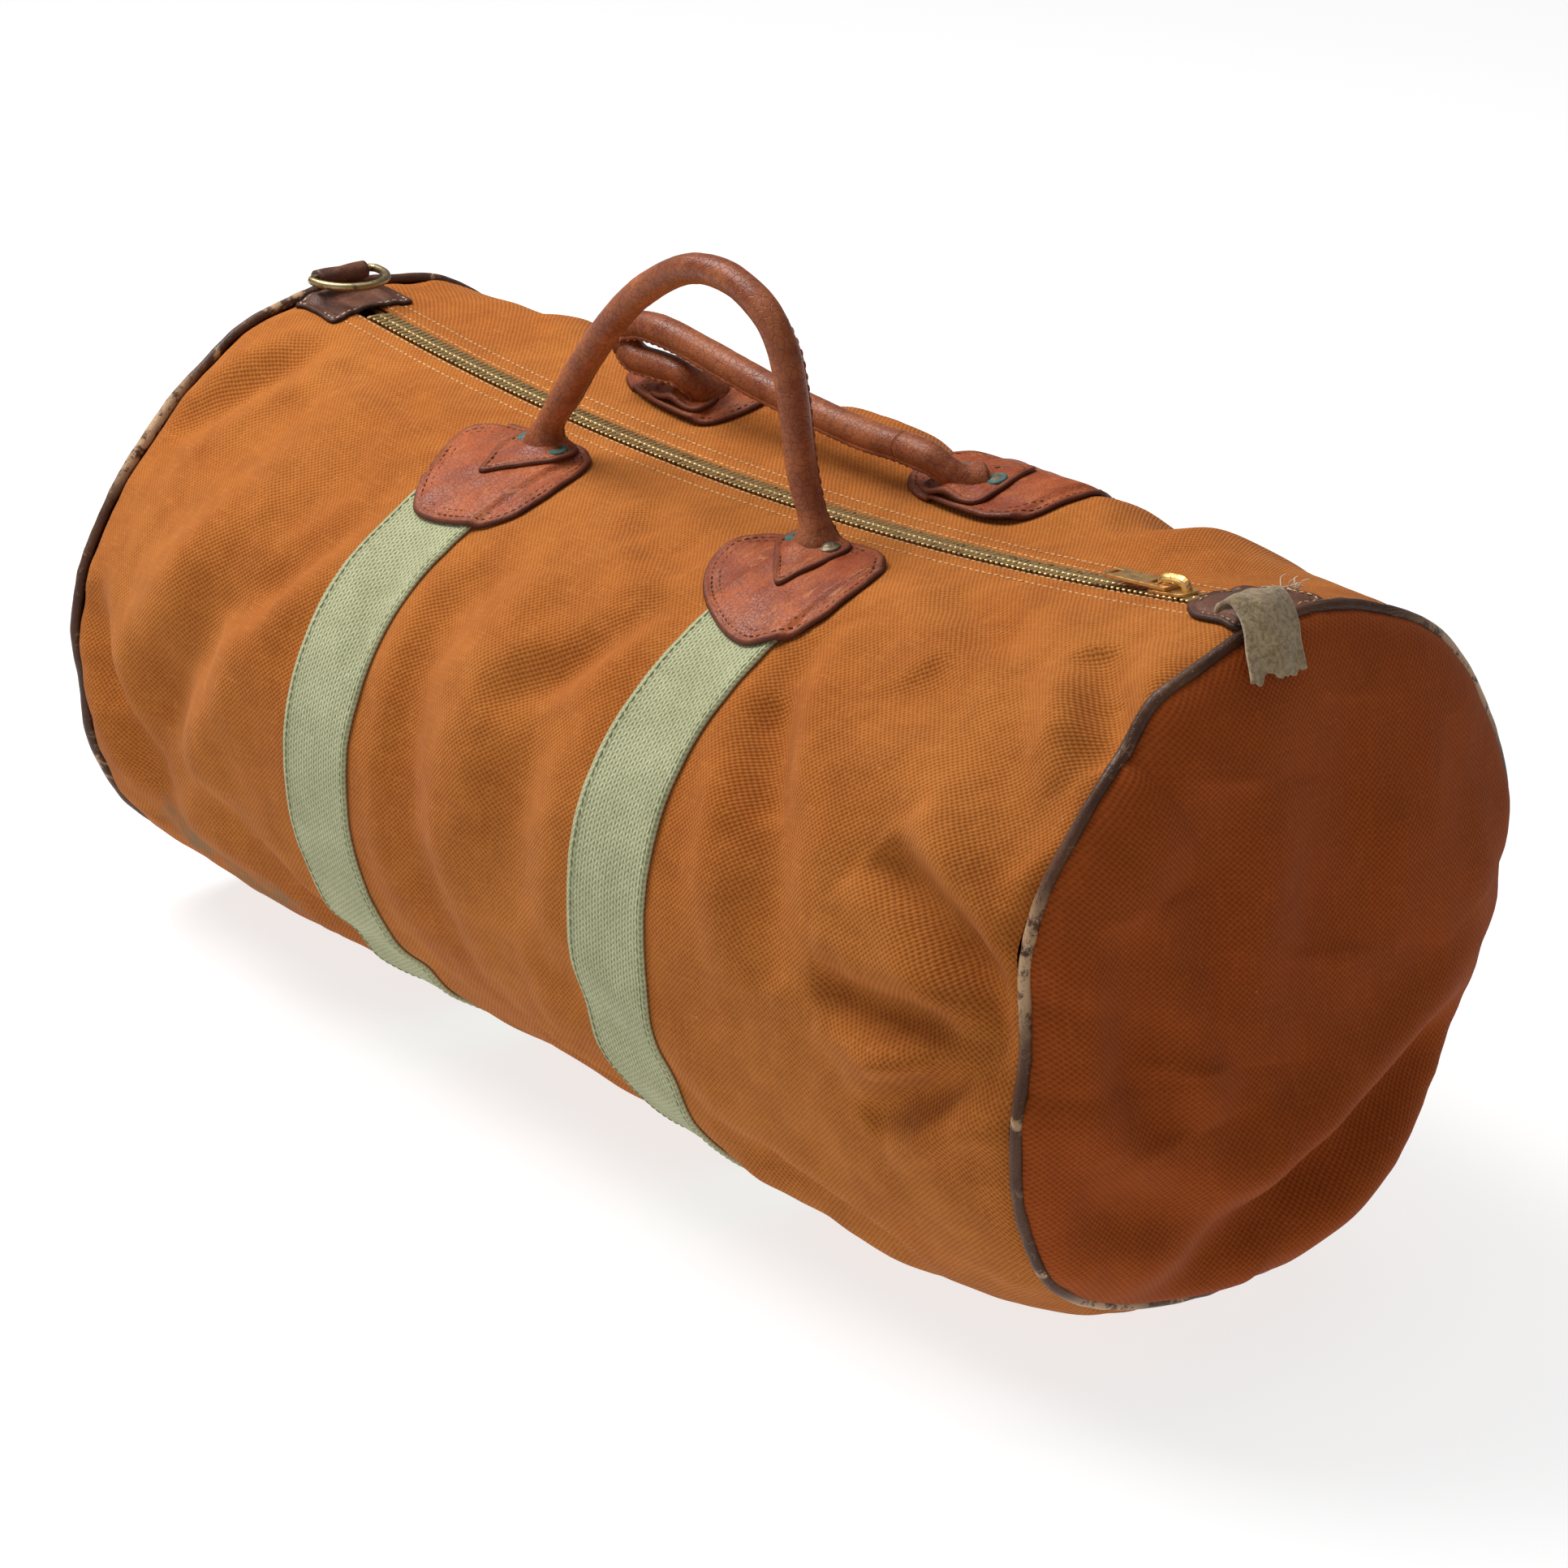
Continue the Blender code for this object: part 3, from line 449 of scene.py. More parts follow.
    def stand(self, x: float, s: float, d: float = 0.0) -> Matrix:
        """A frame of axes: X along the bag, Y round it towards the front, Z off it.

        Args:
            x: Place along the bag.
            s: Place round it.
            d: Height off it.

        Returns:
            The frame.
        """
        here = self.at(x, s, d)
        up = (self.at(x, s, d + 0.004) - here).normalized()
        along = self.at(x + 0.002, s, d) - self.at(x - 0.002, s, d)
        along = (along - up * along.dot(up)).normalized()
        return axes(along, up.cross(along), up, here)


# ---------------------------------------------------------------- mesh tools


def distances(path: np.ndarray) -> np.ndarray:
    """How far along a path each of its points is."""
    return np.concatenate([[0.0], np.cumsum(np.linalg.norm(np.diff(path, axis=0), axis=1))])


def axes(x: Vector, y: Vector, z: Vector, place: Vector) -> Matrix:
    """A frame at a place, with the three given axes."""
    return Matrix.Translation(place) @ Matrix((x, y, z)).transposed().to_4x4()


def coordinates(bm: BMesh) -> np.ndarray:
    """The places of a mesh's points, as rows."""
    return np.array([vert.co for vert in bm.verts]).reshape(-1, 3)


def move_all(bm: BMesh, places: np.ndarray) -> None:
    """Puts each point of a mesh at its row of places."""
    for vert, place in zip(bm.verts, places):
        vert.co = place


def keep_cloth_uv(bm: BMesh) -> None:
    """Keeps the flat x and s of each point as the UV map that the weave follows.

    Args:
        bm: A mesh still drawn flat.
    """
    layer = bm.loops.layers.uv.get(CLOTH_UV) or bm.loops.layers.uv.new(CLOTH_UV)
    for face in bm.faces:
        for loop in face.loops:
            loop[layer].uv = loop.vert.co.xy


def wrap(bm: BMesh, skin: Skin) -> None:
    """Lays a flat mesh on the bag. The flat space is mirrored, so its faces are turned round.

    Args:
        bm: The mesh, with its points as (x, s, d).
        skin: The bag's skin.
    """
    move_all(bm, skin.lay(coordinates(bm)))
    bmesh.ops.reverse_faces(bm, faces=bm.faces)


def to_object(bm: BMesh, name: str, material: Material,
              smooth: bool = True) -> Object:
    """Makes a scene object of a finished mesh.

    Args:
        bm: The mesh, which is freed.
        name: The piece's name.
        material: Its finish.
        smooth: Whether its faces are shaded smooth.

    Returns:
        The new object.
    """
    mesh = bpy.data.meshes.new(name)
    for face in bm.faces:
        face.smooth = smooth
    bm.to_mesh(mesh)
    bm.free()
    mesh.materials.append(material)
    obj = bpy.data.objects.new(name, mesh)
    bpy.context.scene.collection.objects.link(obj)
    return obj


def thicken(obj: Object, thickness: float, offset: float = -1.0) -> None:
    """Gives a sheet a wall.

    Args:
        obj: The sheet.
        thickness: The wall, in metres.
        offset: -1 puts it under the sheet, 1 on it.
    """
    wall = obj.modifiers.new("wall", "SOLIDIFY")
    wall.thickness = thickness
    wall.offset = offset
    wall.use_even_offset = False


def through(points: Sequence[Sequence[float]], count: int, closed: bool = False) -> np.ndarray:
    """Even points of a smooth curve through the given ones.

    Args:
        points: The points to pass through.
        count: How many points come out.
        closed: Whether the curve runs back to its start.

    Returns:
        The points as rows.
    """
    given = np.array(points, float)
    total = len(given)
    fine = []
    for k in range(total if closed else total - 1):
        near = range(k - 1, k + 3)
        index = [p % total if closed else min(max(p, 0), total - 1) for p in near]
        a, b, c, d = (given[p] for p in index)
        for t in np.linspace(0, 1, 12, endpoint=False):
            fine.append(0.5 * (2 * b + (c - a) * t + (2 * a - 5 * b + 4 * c - d) * t**2
                               + (3 * b - a - 3 * c + d) * t**3))
    fine.append(given[0] if closed else given[-1])
    fine = np.array(fine)
    far = distances(fine)
    stops = np.linspace(0, far[-1], count + 1 if closed else count)
    even = np.stack([np.interp(stops, far, fine[:, axis]) for axis in range(fine.shape[1])], 1)
    return even[:-1] if closed else even


def frames_along(path: np.ndarray, closed: bool) -> list[Matrix]:
    """Frames that travel along a path without twisting, with Z along it.

    Args:
        path: Points as rows.
        closed: Whether the path is a ring.

    Returns:
        A matrix for each point.
    """
    if closed:
        ahead = np.roll(path, -1, axis=0) - np.roll(path, 1, axis=0)
    else:
        ahead = np.gradient(path, axis=0)
    headings = [Vector(h).normalized() for h in ahead]
    side = headings[0].orthogonal().normalized()
    frames = []
    for place, heading in zip(path, headings):
        side = (side - heading * side.dot(heading)).normalized()
        frames.append(axes(side, heading.cross(side), heading, Vector(place)))
    return frames


def sweep(path: np.ndarray, radii: Sequence[float], sides: int, closed: bool = False,
          flat: Sequence[float] | None = None) -> BMesh:
    """A tube along a path.

    Args:
        path: The points of its middle line.
        radii: Its radius at each point.
        sides: Faces round it.
        closed: Whether it is a ring.
        flat: How much each ring is pressed along its first axis, 1 for round.

    Returns:
        The tube, with the distance along it kept as the layer "along".
    """
    bm = bmesh.new()
    along = bm.verts.layers.float.new("along")
    frames = frames_along(path, closed)
    press = flat if flat is not None else [1.0] * len(path)
    places = [f @ Matrix.Diagonal((r * p, r, r, 1)) for f, r, p in zip(frames, radii, press)]
    ring = bmesh.ops.create_circle(bm, segments=sides, radius=1.0, matrix=places[0])["verts"]
    first = edges = list(bm.edges)
    far = 0.0
    for k in range(1, len(places)):
        far += float(np.linalg.norm(path[k] - path[k - 1]))
        made = bmesh.ops.extrude_edge_only(bm, edges=edges)["geom"]
        ring = [item for item in made if isinstance(item, BMVert)]
        inside = set(ring)
        edges = [e for e in made if isinstance(e, BMEdge) and set(e.verts) <= inside]
        bmesh.ops.transform(bm, matrix=places[k] @ places[k - 1].inverted(), verts=ring)
        for vert in ring:
            vert[along] = far
    if closed:
        bmesh.ops.bridge_loops(bm, edges=list(first) + edges)
    else:
        bmesh.ops.contextual_create(bm, geom=list(first))
        bmesh.ops.contextual_create(bm, geom=edges)
    bmesh.ops.recalc_face_normals(bm, faces=bm.faces)
    return bm


def turned(profile: Sequence[tuple[float, float]], steps: int) -> BMesh:
    """An open round shape that a profile makes when it is turned about Z.

    Args:
        profile: Radius and height of each point, from the middle outwards.
        steps: Faces round it.

    Returns:
        The shape, facing up.
    """
    bm = bmesh.new()
    spoke = [bm.verts.new((radius, 0, height)) for radius, height in profile]
    for first, second in zip(spoke, spoke[1:]):
        bm.edges.new((first, second))
    bmesh.ops.spin(bm, geom=bm.verts[:] + bm.edges[:], axis=(0, 0, 1), cent=(0, 0, 0),
                   angle=math.tau, steps=steps, use_merge=True)
    bmesh.ops.remove_doubles(bm, verts=bm.verts, dist=1e-6)
    bmesh.ops.recalc_face_normals(bm, faces=bm.faces)
    facing = sum(face.normal.z * face.calc_area() for face in bm.faces)
    if facing < 0:
        bmesh.ops.reverse_faces(bm, faces=bm.faces)
    return bm


def spoked(rings: int, steps: int, power: float) -> BMesh:
    """A unit disc of rings, crowded towards the rim where the power is under 1."""
    return turned([((k / rings) ** power, 0.0) for k in range(rings + 1)], steps)


def soften(bm: BMesh, geom: list, width: float, segments: int) -> None:
    """Rounds edges by a bevel."""
    bmesh.ops.bevel(bm, geom=geom, offset=width, segments=segments, affect="EDGES", profile=0.5, material=-1)


def block(size: Sequence[float], place: Matrix, bevel: float = 0.0, segments: int = 2) -> BMesh:
    """A block with softened edges.

    Args:
        size: Its three sides.
        place: Where it stands.
        bevel: Width of the softening.
        segments: Steps in it.

    Returns:
        The block.
    """
    bm = bmesh.new()
    bmesh.ops.create_cube(bm, size=1.0, matrix=Matrix.Diagonal((*size, 1)))
    if bevel:
        soften(bm, bm.edges[:] + bm.verts[:], bevel, segments)
    bmesh.ops.transform(bm, matrix=place, verts=bm.verts)
    return bm


def add_to(target: BMesh, other: BMesh) -> None:
    """Adds one mesh to another.

    Args:
        target: The mesh that grows.
        other: The mesh that is added, and freed.
    """
    mesh = bpy.data.meshes.new("join")
    other.to_mesh(mesh)
    other.free()
    target.from_mesh(mesh)
    bpy.data.meshes.remove(mesh)


STITCH_LEAN = 0.12


@dataclass(frozen=True)
class Stitch:
    """A kind of stitch: its length, the cloth between two, its thread and how far that is pulled in."""

    length: float
    gap: float
    thread: float
    sunk: float = 0.0


WEBBING_STITCH = Stitch(0.0030, 0.0014, 0.0007)
PATCH_STITCH = Stitch(0.0023, 0.0013, 0.0008, sunk=0.0001)
ZIP_STITCH = Stitch(0.0027, 0.0012, 0.0008)
TAB_STITCH = Stitch(0.0024, 0.0014, 0.0007)


def stitches(skin: Skin, rows: Sequence[np.ndarray], kind: Stitch, seed: int) -> BMesh:
    """Rows of thread stitches laid on the bag.

    Args:
        skin: The bag's skin.
        rows: Lines of (x, s, d).
        kind: The kind of stitch.
        seed: Picks how unevenly they lean.

    Returns:
        One mesh with every stitch.
    """
    rng = np.random.default_rng(seed)
    spots = []
    for row in rows:
        far = distances(skin.lay(row))
        for start in np.arange(kind.gap, far[-1] - kind.length, kind.length + kind.gap):
            ends = [start, start + kind.length]
            a, b = (np.array([np.interp(e, far, row[:, k]) for k in range(3)]) for e in ends)
            first, second = (Vector(p) for p in skin.lay(np.stack([a, b])))
            middle = (a + b) / 2
            up = skin.stand(float(middle[0]), float(middle[1])).col[2].to_3d()
            heading = (second - first).normalized()
            side = up.cross(heading).normalized()
            heading = (heading + side * rng.normal(0, STITCH_LEAN)).normalized()
            side = up.cross(heading).normalized()
            place = axes(heading, side, heading.cross(side), (first + second) / 2 - up * kind.sunk)
            size = Matrix.Diagonal((kind.length * 0.56, kind.thread * 0.62, kind.thread * 0.55, 1))
            spots.append(place @ size @ Matrix.Rotation(math.pi / 2, 4, "Y"))
    return beads(spots)


def beads(spots: Sequence[Matrix], together: int = 24) -> BMesh:
    """One small rounded bead at each place.

    Args:
        spots: The places.
        together: How many are made at a time, since a small mesh is quicker to add to.

    Returns:
        One mesh with every bead.
    """
    bm = bmesh.new()
    for first in range(0, len(spots), together):
        few = bmesh.new()
        for spot in spots[first : first + together]:
            bmesh.ops.create_uvsphere(few, u_segments=6, v_segments=4, radius=1.0, matrix=spot)
        add_to(bm, few)
    return bm


# ---------------------------------------------------------------- finishes

Colour = tuple[float, float, float]


class Blending(Enum):
    """Ways of mixing two colours."""

    MIX = "MIX"
    MULTIPLY = "MULTIPLY"


class Bench:
    """Adds and links the nodes of one node tree."""

    def __init__(self, tree: NodeTree) -> None:
        """Starts on a tree."""
        self.tree = tree

    def add(self, kind: str, inputs: dict | None = None, **settings: object) -> Node:
        """Adds a node.

        Args:
            kind: The node's type.
            inputs: A value or a socket for each named or numbered input.
            **settings: The node's own settings.

        Returns:
            The node.
        """
        node = self.tree.nodes.new(kind)
        for name, value in settings.items():
            setattr(node, name, value)
        for name, value in (inputs or {}).items():
            self.feed(node.inputs[name], value)
        return node

    def feed(self, target: NodeSocket, value: object) -> None:
        """Links a socket, or sets a value, on an input.

        Args:
            target: The input.
            value: A socket, a number or a colour.
        """
        if isinstance(value, NodeSocket):
            self.tree.links.new(value, target)
        elif isinstance(value, tuple) and len(value) == 3 and target.type == "RGBA":
            target.default_value = (*value, 1.0)
        else:
            target.default_value = value

    def math(self, operation: str, a: object, b: object = 0.0) -> NodeSocket:
        """One sum of two values."""
        return self.add("ShaderNodeMath", {0: a, 1: b}, operation=operation).outputs[0]

    def times(self, a: object, b: object) -> NodeSocket:
        """The product of two values."""
        return self.math("MULTIPLY", a, b)

    def plus(self, a: object, b: object) -> NodeSocket:
        """The sum of two values."""
        return self.math("ADD", a, b)

    def mix(self, factor: object, a: object, b: object, blending: Blending = Blending.MIX) -> NodeSocket:
        """Mixes two colours by a factor."""
        node = self.add("ShaderNodeMix", {0: factor, 6: a, 7: b}, data_type="RGBA", blend_type=blending.value)
        return node.outputs[2]

    def noise(self, vector: NodeSocket, scale: float, detail: float = 3.0, rough: float = 0.55,
              distortion: float = 0.0) -> NodeSocket:
        """Smooth noise about 0.5."""
        inputs = {"Vector": vector, "Scale": scale, "Detail": detail, "Roughness": rough,
                  "Distortion": distortion}
        return self.add("ShaderNodeTexNoise", inputs).outputs["Fac"]

    def span(self, value: object, low: float, high: float, to_low: float = 0.0,
             to_high: float = 1.0) -> NodeSocket:
        """Maps low..high to to_low..to_high in an even S, held at both ends."""
        inputs = {"Value": value, "From Min": low, "From Max": high, "To Min": to_low, "To Max": to_high}
        return self.add("ShaderNodeMapRange", inputs, interpolation_type="SMOOTHSTEP").outputs[0]

    def stretched(self, vector: NodeSocket, scale: Sequence[float], turn: float = 0.0) -> NodeSocket:
        """A vector scaled by three numbers, after a turn about Z."""
        inputs = {"Vector": vector, "Scale": tuple(scale), "Rotation": (0.0, 0.0, turn)}
        return self.add("ShaderNodeMapping", inputs).outputs[0]

    def bump(self, height: NodeSocket, distance: float, strength: float,
             normal: NodeSocket | None = None) -> NodeSocket:
        """Turns a height into a normal.

        Args:
            height: The height.
            distance: How far its full range stands up, in metres.
            strength: How strongly it shows.
            normal: A normal that it is laid over.

        Returns:
            The normal.
        """
        inputs = {"Height": height, "Distance": distance, "Strength": strength}
        if normal is not None:
            inputs["Normal"] = normal
        return self.add("ShaderNodeBump", inputs).outputs[0]


def node_group(name: str, inputs: dict[str, tuple[str, float]], outputs: dict[str, str],
               fill: Callable[[Bench, dict[str, NodeSocket]], dict[str, NodeSocket]]) -> NodeTree:
    """A shader node group, built once.

    Args:
        name: Its name.
        inputs: The kind and first value of each input.
        outputs: The kind of each output.
        fill: Adds its nodes and returns a socket for each output.

    Returns:
        The group.
    """
    found = bpy.data.node_groups.get(name)
    if found:
        return found
    tree = bpy.data.node_groups.new(name, "ShaderNodeTree")
    for label, (kind, value) in inputs.items():
        socket = tree.interface.new_socket(label, in_out="INPUT", socket_type=f"NodeSocket{kind}")
        if kind == "Float":
            socket.default_value = value
    for label, kind in outputs.items():
        tree.interface.new_socket(label, in_out="OUTPUT", socket_type=f"NodeSocket{kind}")
    bench = Bench(tree)
    entry = bench.add("NodeGroupInput")
    leave = bench.add("NodeGroupOutput")
    made = fill(bench, {label: entry.outputs[label] for label in inputs})
    for label, socket in made.items():
        bench.feed(leave.inputs[label], socket)
    return tree


def plain_weave() -> NodeTree:
    """Threads over and under one another: the height of the cloth and how worn each thread looks."""

    def fill(bench: Bench, given: dict[str, NodeSocket]) -> dict[str, NodeSocket]:
        """Adds the weave's nodes."""
        wander = bench.add("ShaderNodeTexNoise", {"Vector": given["Vector"], "Scale": 90.0, "Detail": 2.0})
        shift = bench.add("ShaderNodeVectorMath", {0: wander.outputs["Color"], 1: (0.5, 0.5, 0.5)},
                          operation="SUBTRACT").outputs[0]
        moved = bench.add("ShaderNodeVectorMath", {0: shift, 1: (0.0011, 0.0011, 0.0), 2: given["Vector"]},
                          operation="MULTIPLY_ADD").outputs[0]
        parts = bench.add("ShaderNodeSeparateXYZ", {0: moved})
        waves = []
        for axis in (0, 1):
            turns = bench.math("DIVIDE", parts.outputs[axis], given["Pitch"])
            waves.append(bench.math("SINE", bench.times(turns, math.pi)))
        both = bench.times(waves[0], waves[1])
        height = bench.math("MULTIPLY_ADD", both, 0.5)
        height.node.inputs[2].default_value = 0.5
        slub = bench.noise(bench.stretched(given["Vector"], (1.0, 0.08, 1.0)), 900.0, 2.0)
        slub_b = bench.noise(bench.stretched(given["Vector"], (0.08, 1.0, 1.0)), 900.0, 2.0)
        threads = bench.times(bench.plus(slub, slub_b), 0.5)
        rough = bench.times(height, bench.span(threads, 0.3, 0.7, 0.7, 1.15))
        return {"Height": rough, "Threads": threads}

    return node_group("plain weave", {"Vector": ("Vector", 0), "Pitch": ("Float", 0.0012)},
                      {"Height": "Float", "Threads": "Float"}, fill)


def leather_grain() -> NodeTree:
    """Pores, fine creases and scratches of leather."""

    def fill(bench: Bench, given: dict[str, NodeSocket]) -> dict[str, NodeSocket]:
        """Adds the grain's nodes."""
        vector = given["Vector"]
        bent = bench.add("ShaderNodeTexNoise", {"Vector": vector, "Scale": 160.0, "Detail": 3.0})
        bending = {0: bent.outputs["Color"], 1: (0.006, 0.006, 0.006), 2: vector}
        moved = bench.add("ShaderNodeVectorMath", bending, operation="MULTIPLY_ADD").outputs[0]
        cells = bench.add("ShaderNodeTexVoronoi", {"Vector": moved, "Scale": given["Scale"]},
                          feature="DISTANCE_TO_EDGE").outputs["Distance"]
        creases = bench.span(cells, 0.0, 0.10)
        pores = bench.noise(vector, 2600.0, 2.0)
        lines = []
        for turn, size in ((0.5, 190.0), (-0.9, 150.0), (1.3, 230.0)):
            mapped = bench.stretched(vector, (1.0, 0.05, 0.3), turn)
            streak = bench.noise(mapped, size, 2.0, 0.5, 0.4)
            from_middle = bench.math("ABSOLUTE", bench.math("SUBTRACT", streak, 0.5))
            lines.append(bench.span(from_middle, 0.0, 0.010, 1.0, 0.0))
        found = bench.math("MAXIMUM", bench.math("MAXIMUM", lines[0], lines[1]), lines[2])
        patchy = bench.span(bench.noise(vector, 60.0, 2.0), 0.48, 0.62)
        scratches = bench.times(found, patchy)
        height = bench.math("MULTIPLY_ADD", creases, 0.7)
        bench.feed(height.node.inputs[2], bench.times(pores, 0.3))
        return {"Height": height, "Creases": creases, "Scratches": scratches}

    return node_group("leather grain", {"Vector": ("Vector", 0), "Scale": ("Float", 420.0)},
                      {"Height": "Float", "Creases": "Float", "Scratches": "Float"}, fill)


def blotches() -> NodeTree:
    """Slow and quick changes of shade that age gives any surface."""

    def fill(bench: Bench, given: dict[str, NodeSocket]) -> dict[str, NodeSocket]:
        """Adds the blotches' nodes."""
        slow = bench.noise(given["Vector"], 7.0, 4.0, 0.6, 0.3)
        quick = bench.noise(given["Vector"], 45.0, 5.0, 0.65)
        speck = bench.noise(given["Vector"], 420.0, 2.0, 0.6)
        return {"Slow": bench.span(slow, 0.33, 0.67), "Quick": bench.span(quick, 0.32, 0.68),
                "Specks": bench.span(speck, 0.70, 0.76)}

    return node_group("blotches", {"Vector": ("Vector", 0)},
                      {"Slow": "Float", "Quick": "Float", "Specks": "Float"}, fill)


class Finish:
    """A material under construction: its bench, its shader and its coordinates."""

    def __init__(self, name: str, **settings: float) -> None:
        """Starts a material.

        Args:
            name: The material's name.
            **settings: Values for the shader's own sockets, with _ for a space.
        """
        self.material = bpy.data.materials.new(name)
        self.material.use_nodes = True
        self.bench = Bench(self.material.node_tree)
        self.shader = self.material.node_tree.nodes["Principled BSDF"]
        for key, value in settings.items():
            self.bench.feed(self.shader.inputs[key.replace("_", " ")], value)
        place = self.bench.add("ShaderNodeTexCoord")
        self.object = place.outputs["Object"]

    def group(self, tree: NodeTree, **inputs: object) -> dict[str, NodeSocket]:
        """Places a node group.

        Args:
            tree: The group.
            **inputs: A value or a socket for each of its inputs.

        Returns:
            Its outputs by name.
        """
        node = self.bench.add("ShaderNodeGroup", node_tree=tree)
        for key, value in inputs.items():
            self.bench.feed(node.inputs[key], value)
        return {socket.name: socket for socket in node.outputs}

    def cloth(self) -> NodeSocket:
        """The flat cloth's own coordinates."""
        return self.bench.add("ShaderNodeUVMap", uv_map=CLOTH_UV).outputs[0]

    def layer(self, name: str) -> NodeSocket:
        """A number kept on the mesh."""
        return self.bench.add("ShaderNodeAttribute", attribute_name=name).outputs["Fac"]

    def wear(self, base: object, rough: object = None, normal: object = None) -> Material:
        """Links what changes over the surface.

        Args:
            base: The colour.
            rough: The roughness, or None to leave it plain.
            normal: The normal, or None to leave it plain.

        Returns:
            The material.
        """
        self.bench.feed(self.shader.inputs["Base Color"], base)
        if rough is not None:
            self.bench.feed(self.shader.inputs["Roughness"], rough)
        if normal is not None:
            self.bench.feed(self.shader.inputs["Normal"], normal)
        return self.material


LINT = (0.75, 0.66, 0.52)
DIRT = (0.150, 0.125, 0.065)
DIRT_SPOTS = (
    (-0.258, 0.322, 0.050, 0.020),
    (-0.215, 0.342, 0.060, 0.022),
    (-0.120, 0.370, 0.060, 0.020),
    (0.230, 0.350, 0.020, 0.010),
)


@dataclass(frozen=True)
class Canvas:
    """Heavy cotton duck, faded and a little dirty."""

    name: str
    shade: Colour = (0.365, 0.102, 0.015)
    light: Colour = (0.520, 0.188, 0.038)
    dark: Colour = (0.150, 0.034, 0.006)
    pitch: float = 0.00125
    stained: bool = False

    def make(self) -> Material:
        """Builds the material."""
        finish = Finish(self.name, Roughness=0.88, Specular_IOR_Level=0.08, Sheen_Weight=0.03,
                        Sheen_Roughness=0.5)
        bench = finish.bench
        cloth = finish.cloth()
        weave = finish.group(plain_weave(), Vector=cloth, Pitch=self.pitch)
        age = finish.group(blotches(), Vector=finish.object)
        base = bench.mix(bench.times(age["Slow"], 0.55), self.shade, self.light)
        base = bench.mix(bench.times(age["Quick"], 0.28), base, self.dark)
        # Thread tops paler and the gaps between threads darker, following the weave's height: painted highlight
        # on the tops and painted shade in the gaps.
        base = bench.mix(bench.span(weave["Height"], 0.30, 0.85, 0.0, 0.38), base, self.light)
        base = bench.mix(bench.span(weave["Height"], 0.32, 0.10, 0.0, 0.60), base, self.dark)
        base = bench.mix(bench.span(weave["Threads"], 0.50, 0.66, 0.0, 0.35), base, self.light)
        linty = bench.span(bench.noise(finish.object, 30.0), 0.55, 0.7, 0.0, 0.3)
        lint = bench.times(age["Specks"], linty)
        base = bench.mix(lint, base, LINT)
        if self.stained:
            base = self.stain(bench, cloth, finish.object, base)
        puckers = bench.noise(finish.object, 70.0, 3.0, 0.5)
        low = bench.bump(puckers, 0.0016, 0.35)
        return finish.wear(base, normal=bench.bump(weave["Height"], 0.0005, 0.75, low))

    def stain(self, bench: Bench, cloth: NodeSocket, place: NodeSocket, base: NodeSocket) -> NodeSocket:
        """Adds the dirt along the lower front.

        Args:
            bench: The material's bench.
            cloth: The flat cloth's coordinates.
            place: The object's coordinates.
            base: The clean colour.

        Returns:
            The dirtied colour.
        """
        parts = bench.add("ShaderNodeSeparateXYZ", {0: cloth})
        total = None
        for x, s, wide, high in DIRT_SPOTS:
            across = bench.math("DIVIDE", bench.math("SUBTRACT", parts.outputs[0], x), wide)
            down = bench.math("DIVIDE", bench.math("SUBTRACT", parts.outputs[1], s), high)
            apart = bench.plus(bench.math("POWER", across, 2.0), bench.math("POWER", down, 2.0))
            spot = bench.span(apart, 1.3, 0.0)
            total = spot if total is None else bench.math("MAXIMUM", total, spot)
        broken = bench.span(bench.noise(place, 55.0, 5.0, 0.7), 0.42, 0.60)
        return bench.mix(bench.times(bench.times(total, broken), 0.60), base, DIRT)


@dataclass(frozen=True)
class Webbing:
    """Ribbed cotton webbing, with herringbone between its selvedges."""

    name: str
    shade: Colour = (0.350, 0.360, 0.195)
    light: Colour = (0.580, 0.580, 0.360)
    dark: Colour = (0.095, 0.108, 0.048)
    rib: float = 0.0040
    pitch: float = 0.0026

    def make(self) -> Material:
        """Builds the material."""
        finish = Finish(self.name, Roughness=0.85, Specular_IOR_Level=0.2, Sheen_Weight=0.10)
        bench = finish.bench
        parts = bench.add("ShaderNodeSeparateXYZ", {0: finish.cloth()})
        across, along = parts.outputs[0], parts.outputs[1]
        zigzag = bench.math("PINGPONG", across, self.rib / 2)
        slant = bench.plus(along, bench.times(zigzag, 1.1))
        knots = bench.math("SINE", bench.times(slant, math.tau / self.pitch))
        ribs = bench.math("ABSOLUTE", bench.math("SINE", bench.times(across, math.tau / self.rib)))
        height = bench.plus(bench.times(ribs, 0.60), bench.times(knots, 0.24))
        height = bench.plus(height, 0.18)
        age = finish.group(blotches(), Vector=finish.object)
        # Colour follows the height of the ribs and knots: painted shade in the grooves, painted highlight on
        # the ribs.
        base = bench.mix(bench.span(height, 0.15, 0.85), self.dark, self.light)
        base = bench.mix(0.45, base, self.shade)
        base = bench.mix(bench.times(age["Quick"], 0.30), base, self.shade, Blending.MULTIPLY)
        fibre = bench.noise(bench.stretched(finish.cloth(), (1.0, 0.12, 1.0)), 2200.0, 2.0)
        base = bench.mix(bench.span(fibre, 0.45, 0.70, 0.0, 0.35), base, self.light)
        return finish.wear(base, normal=bench.bump(height, 0.0006, 0.8))


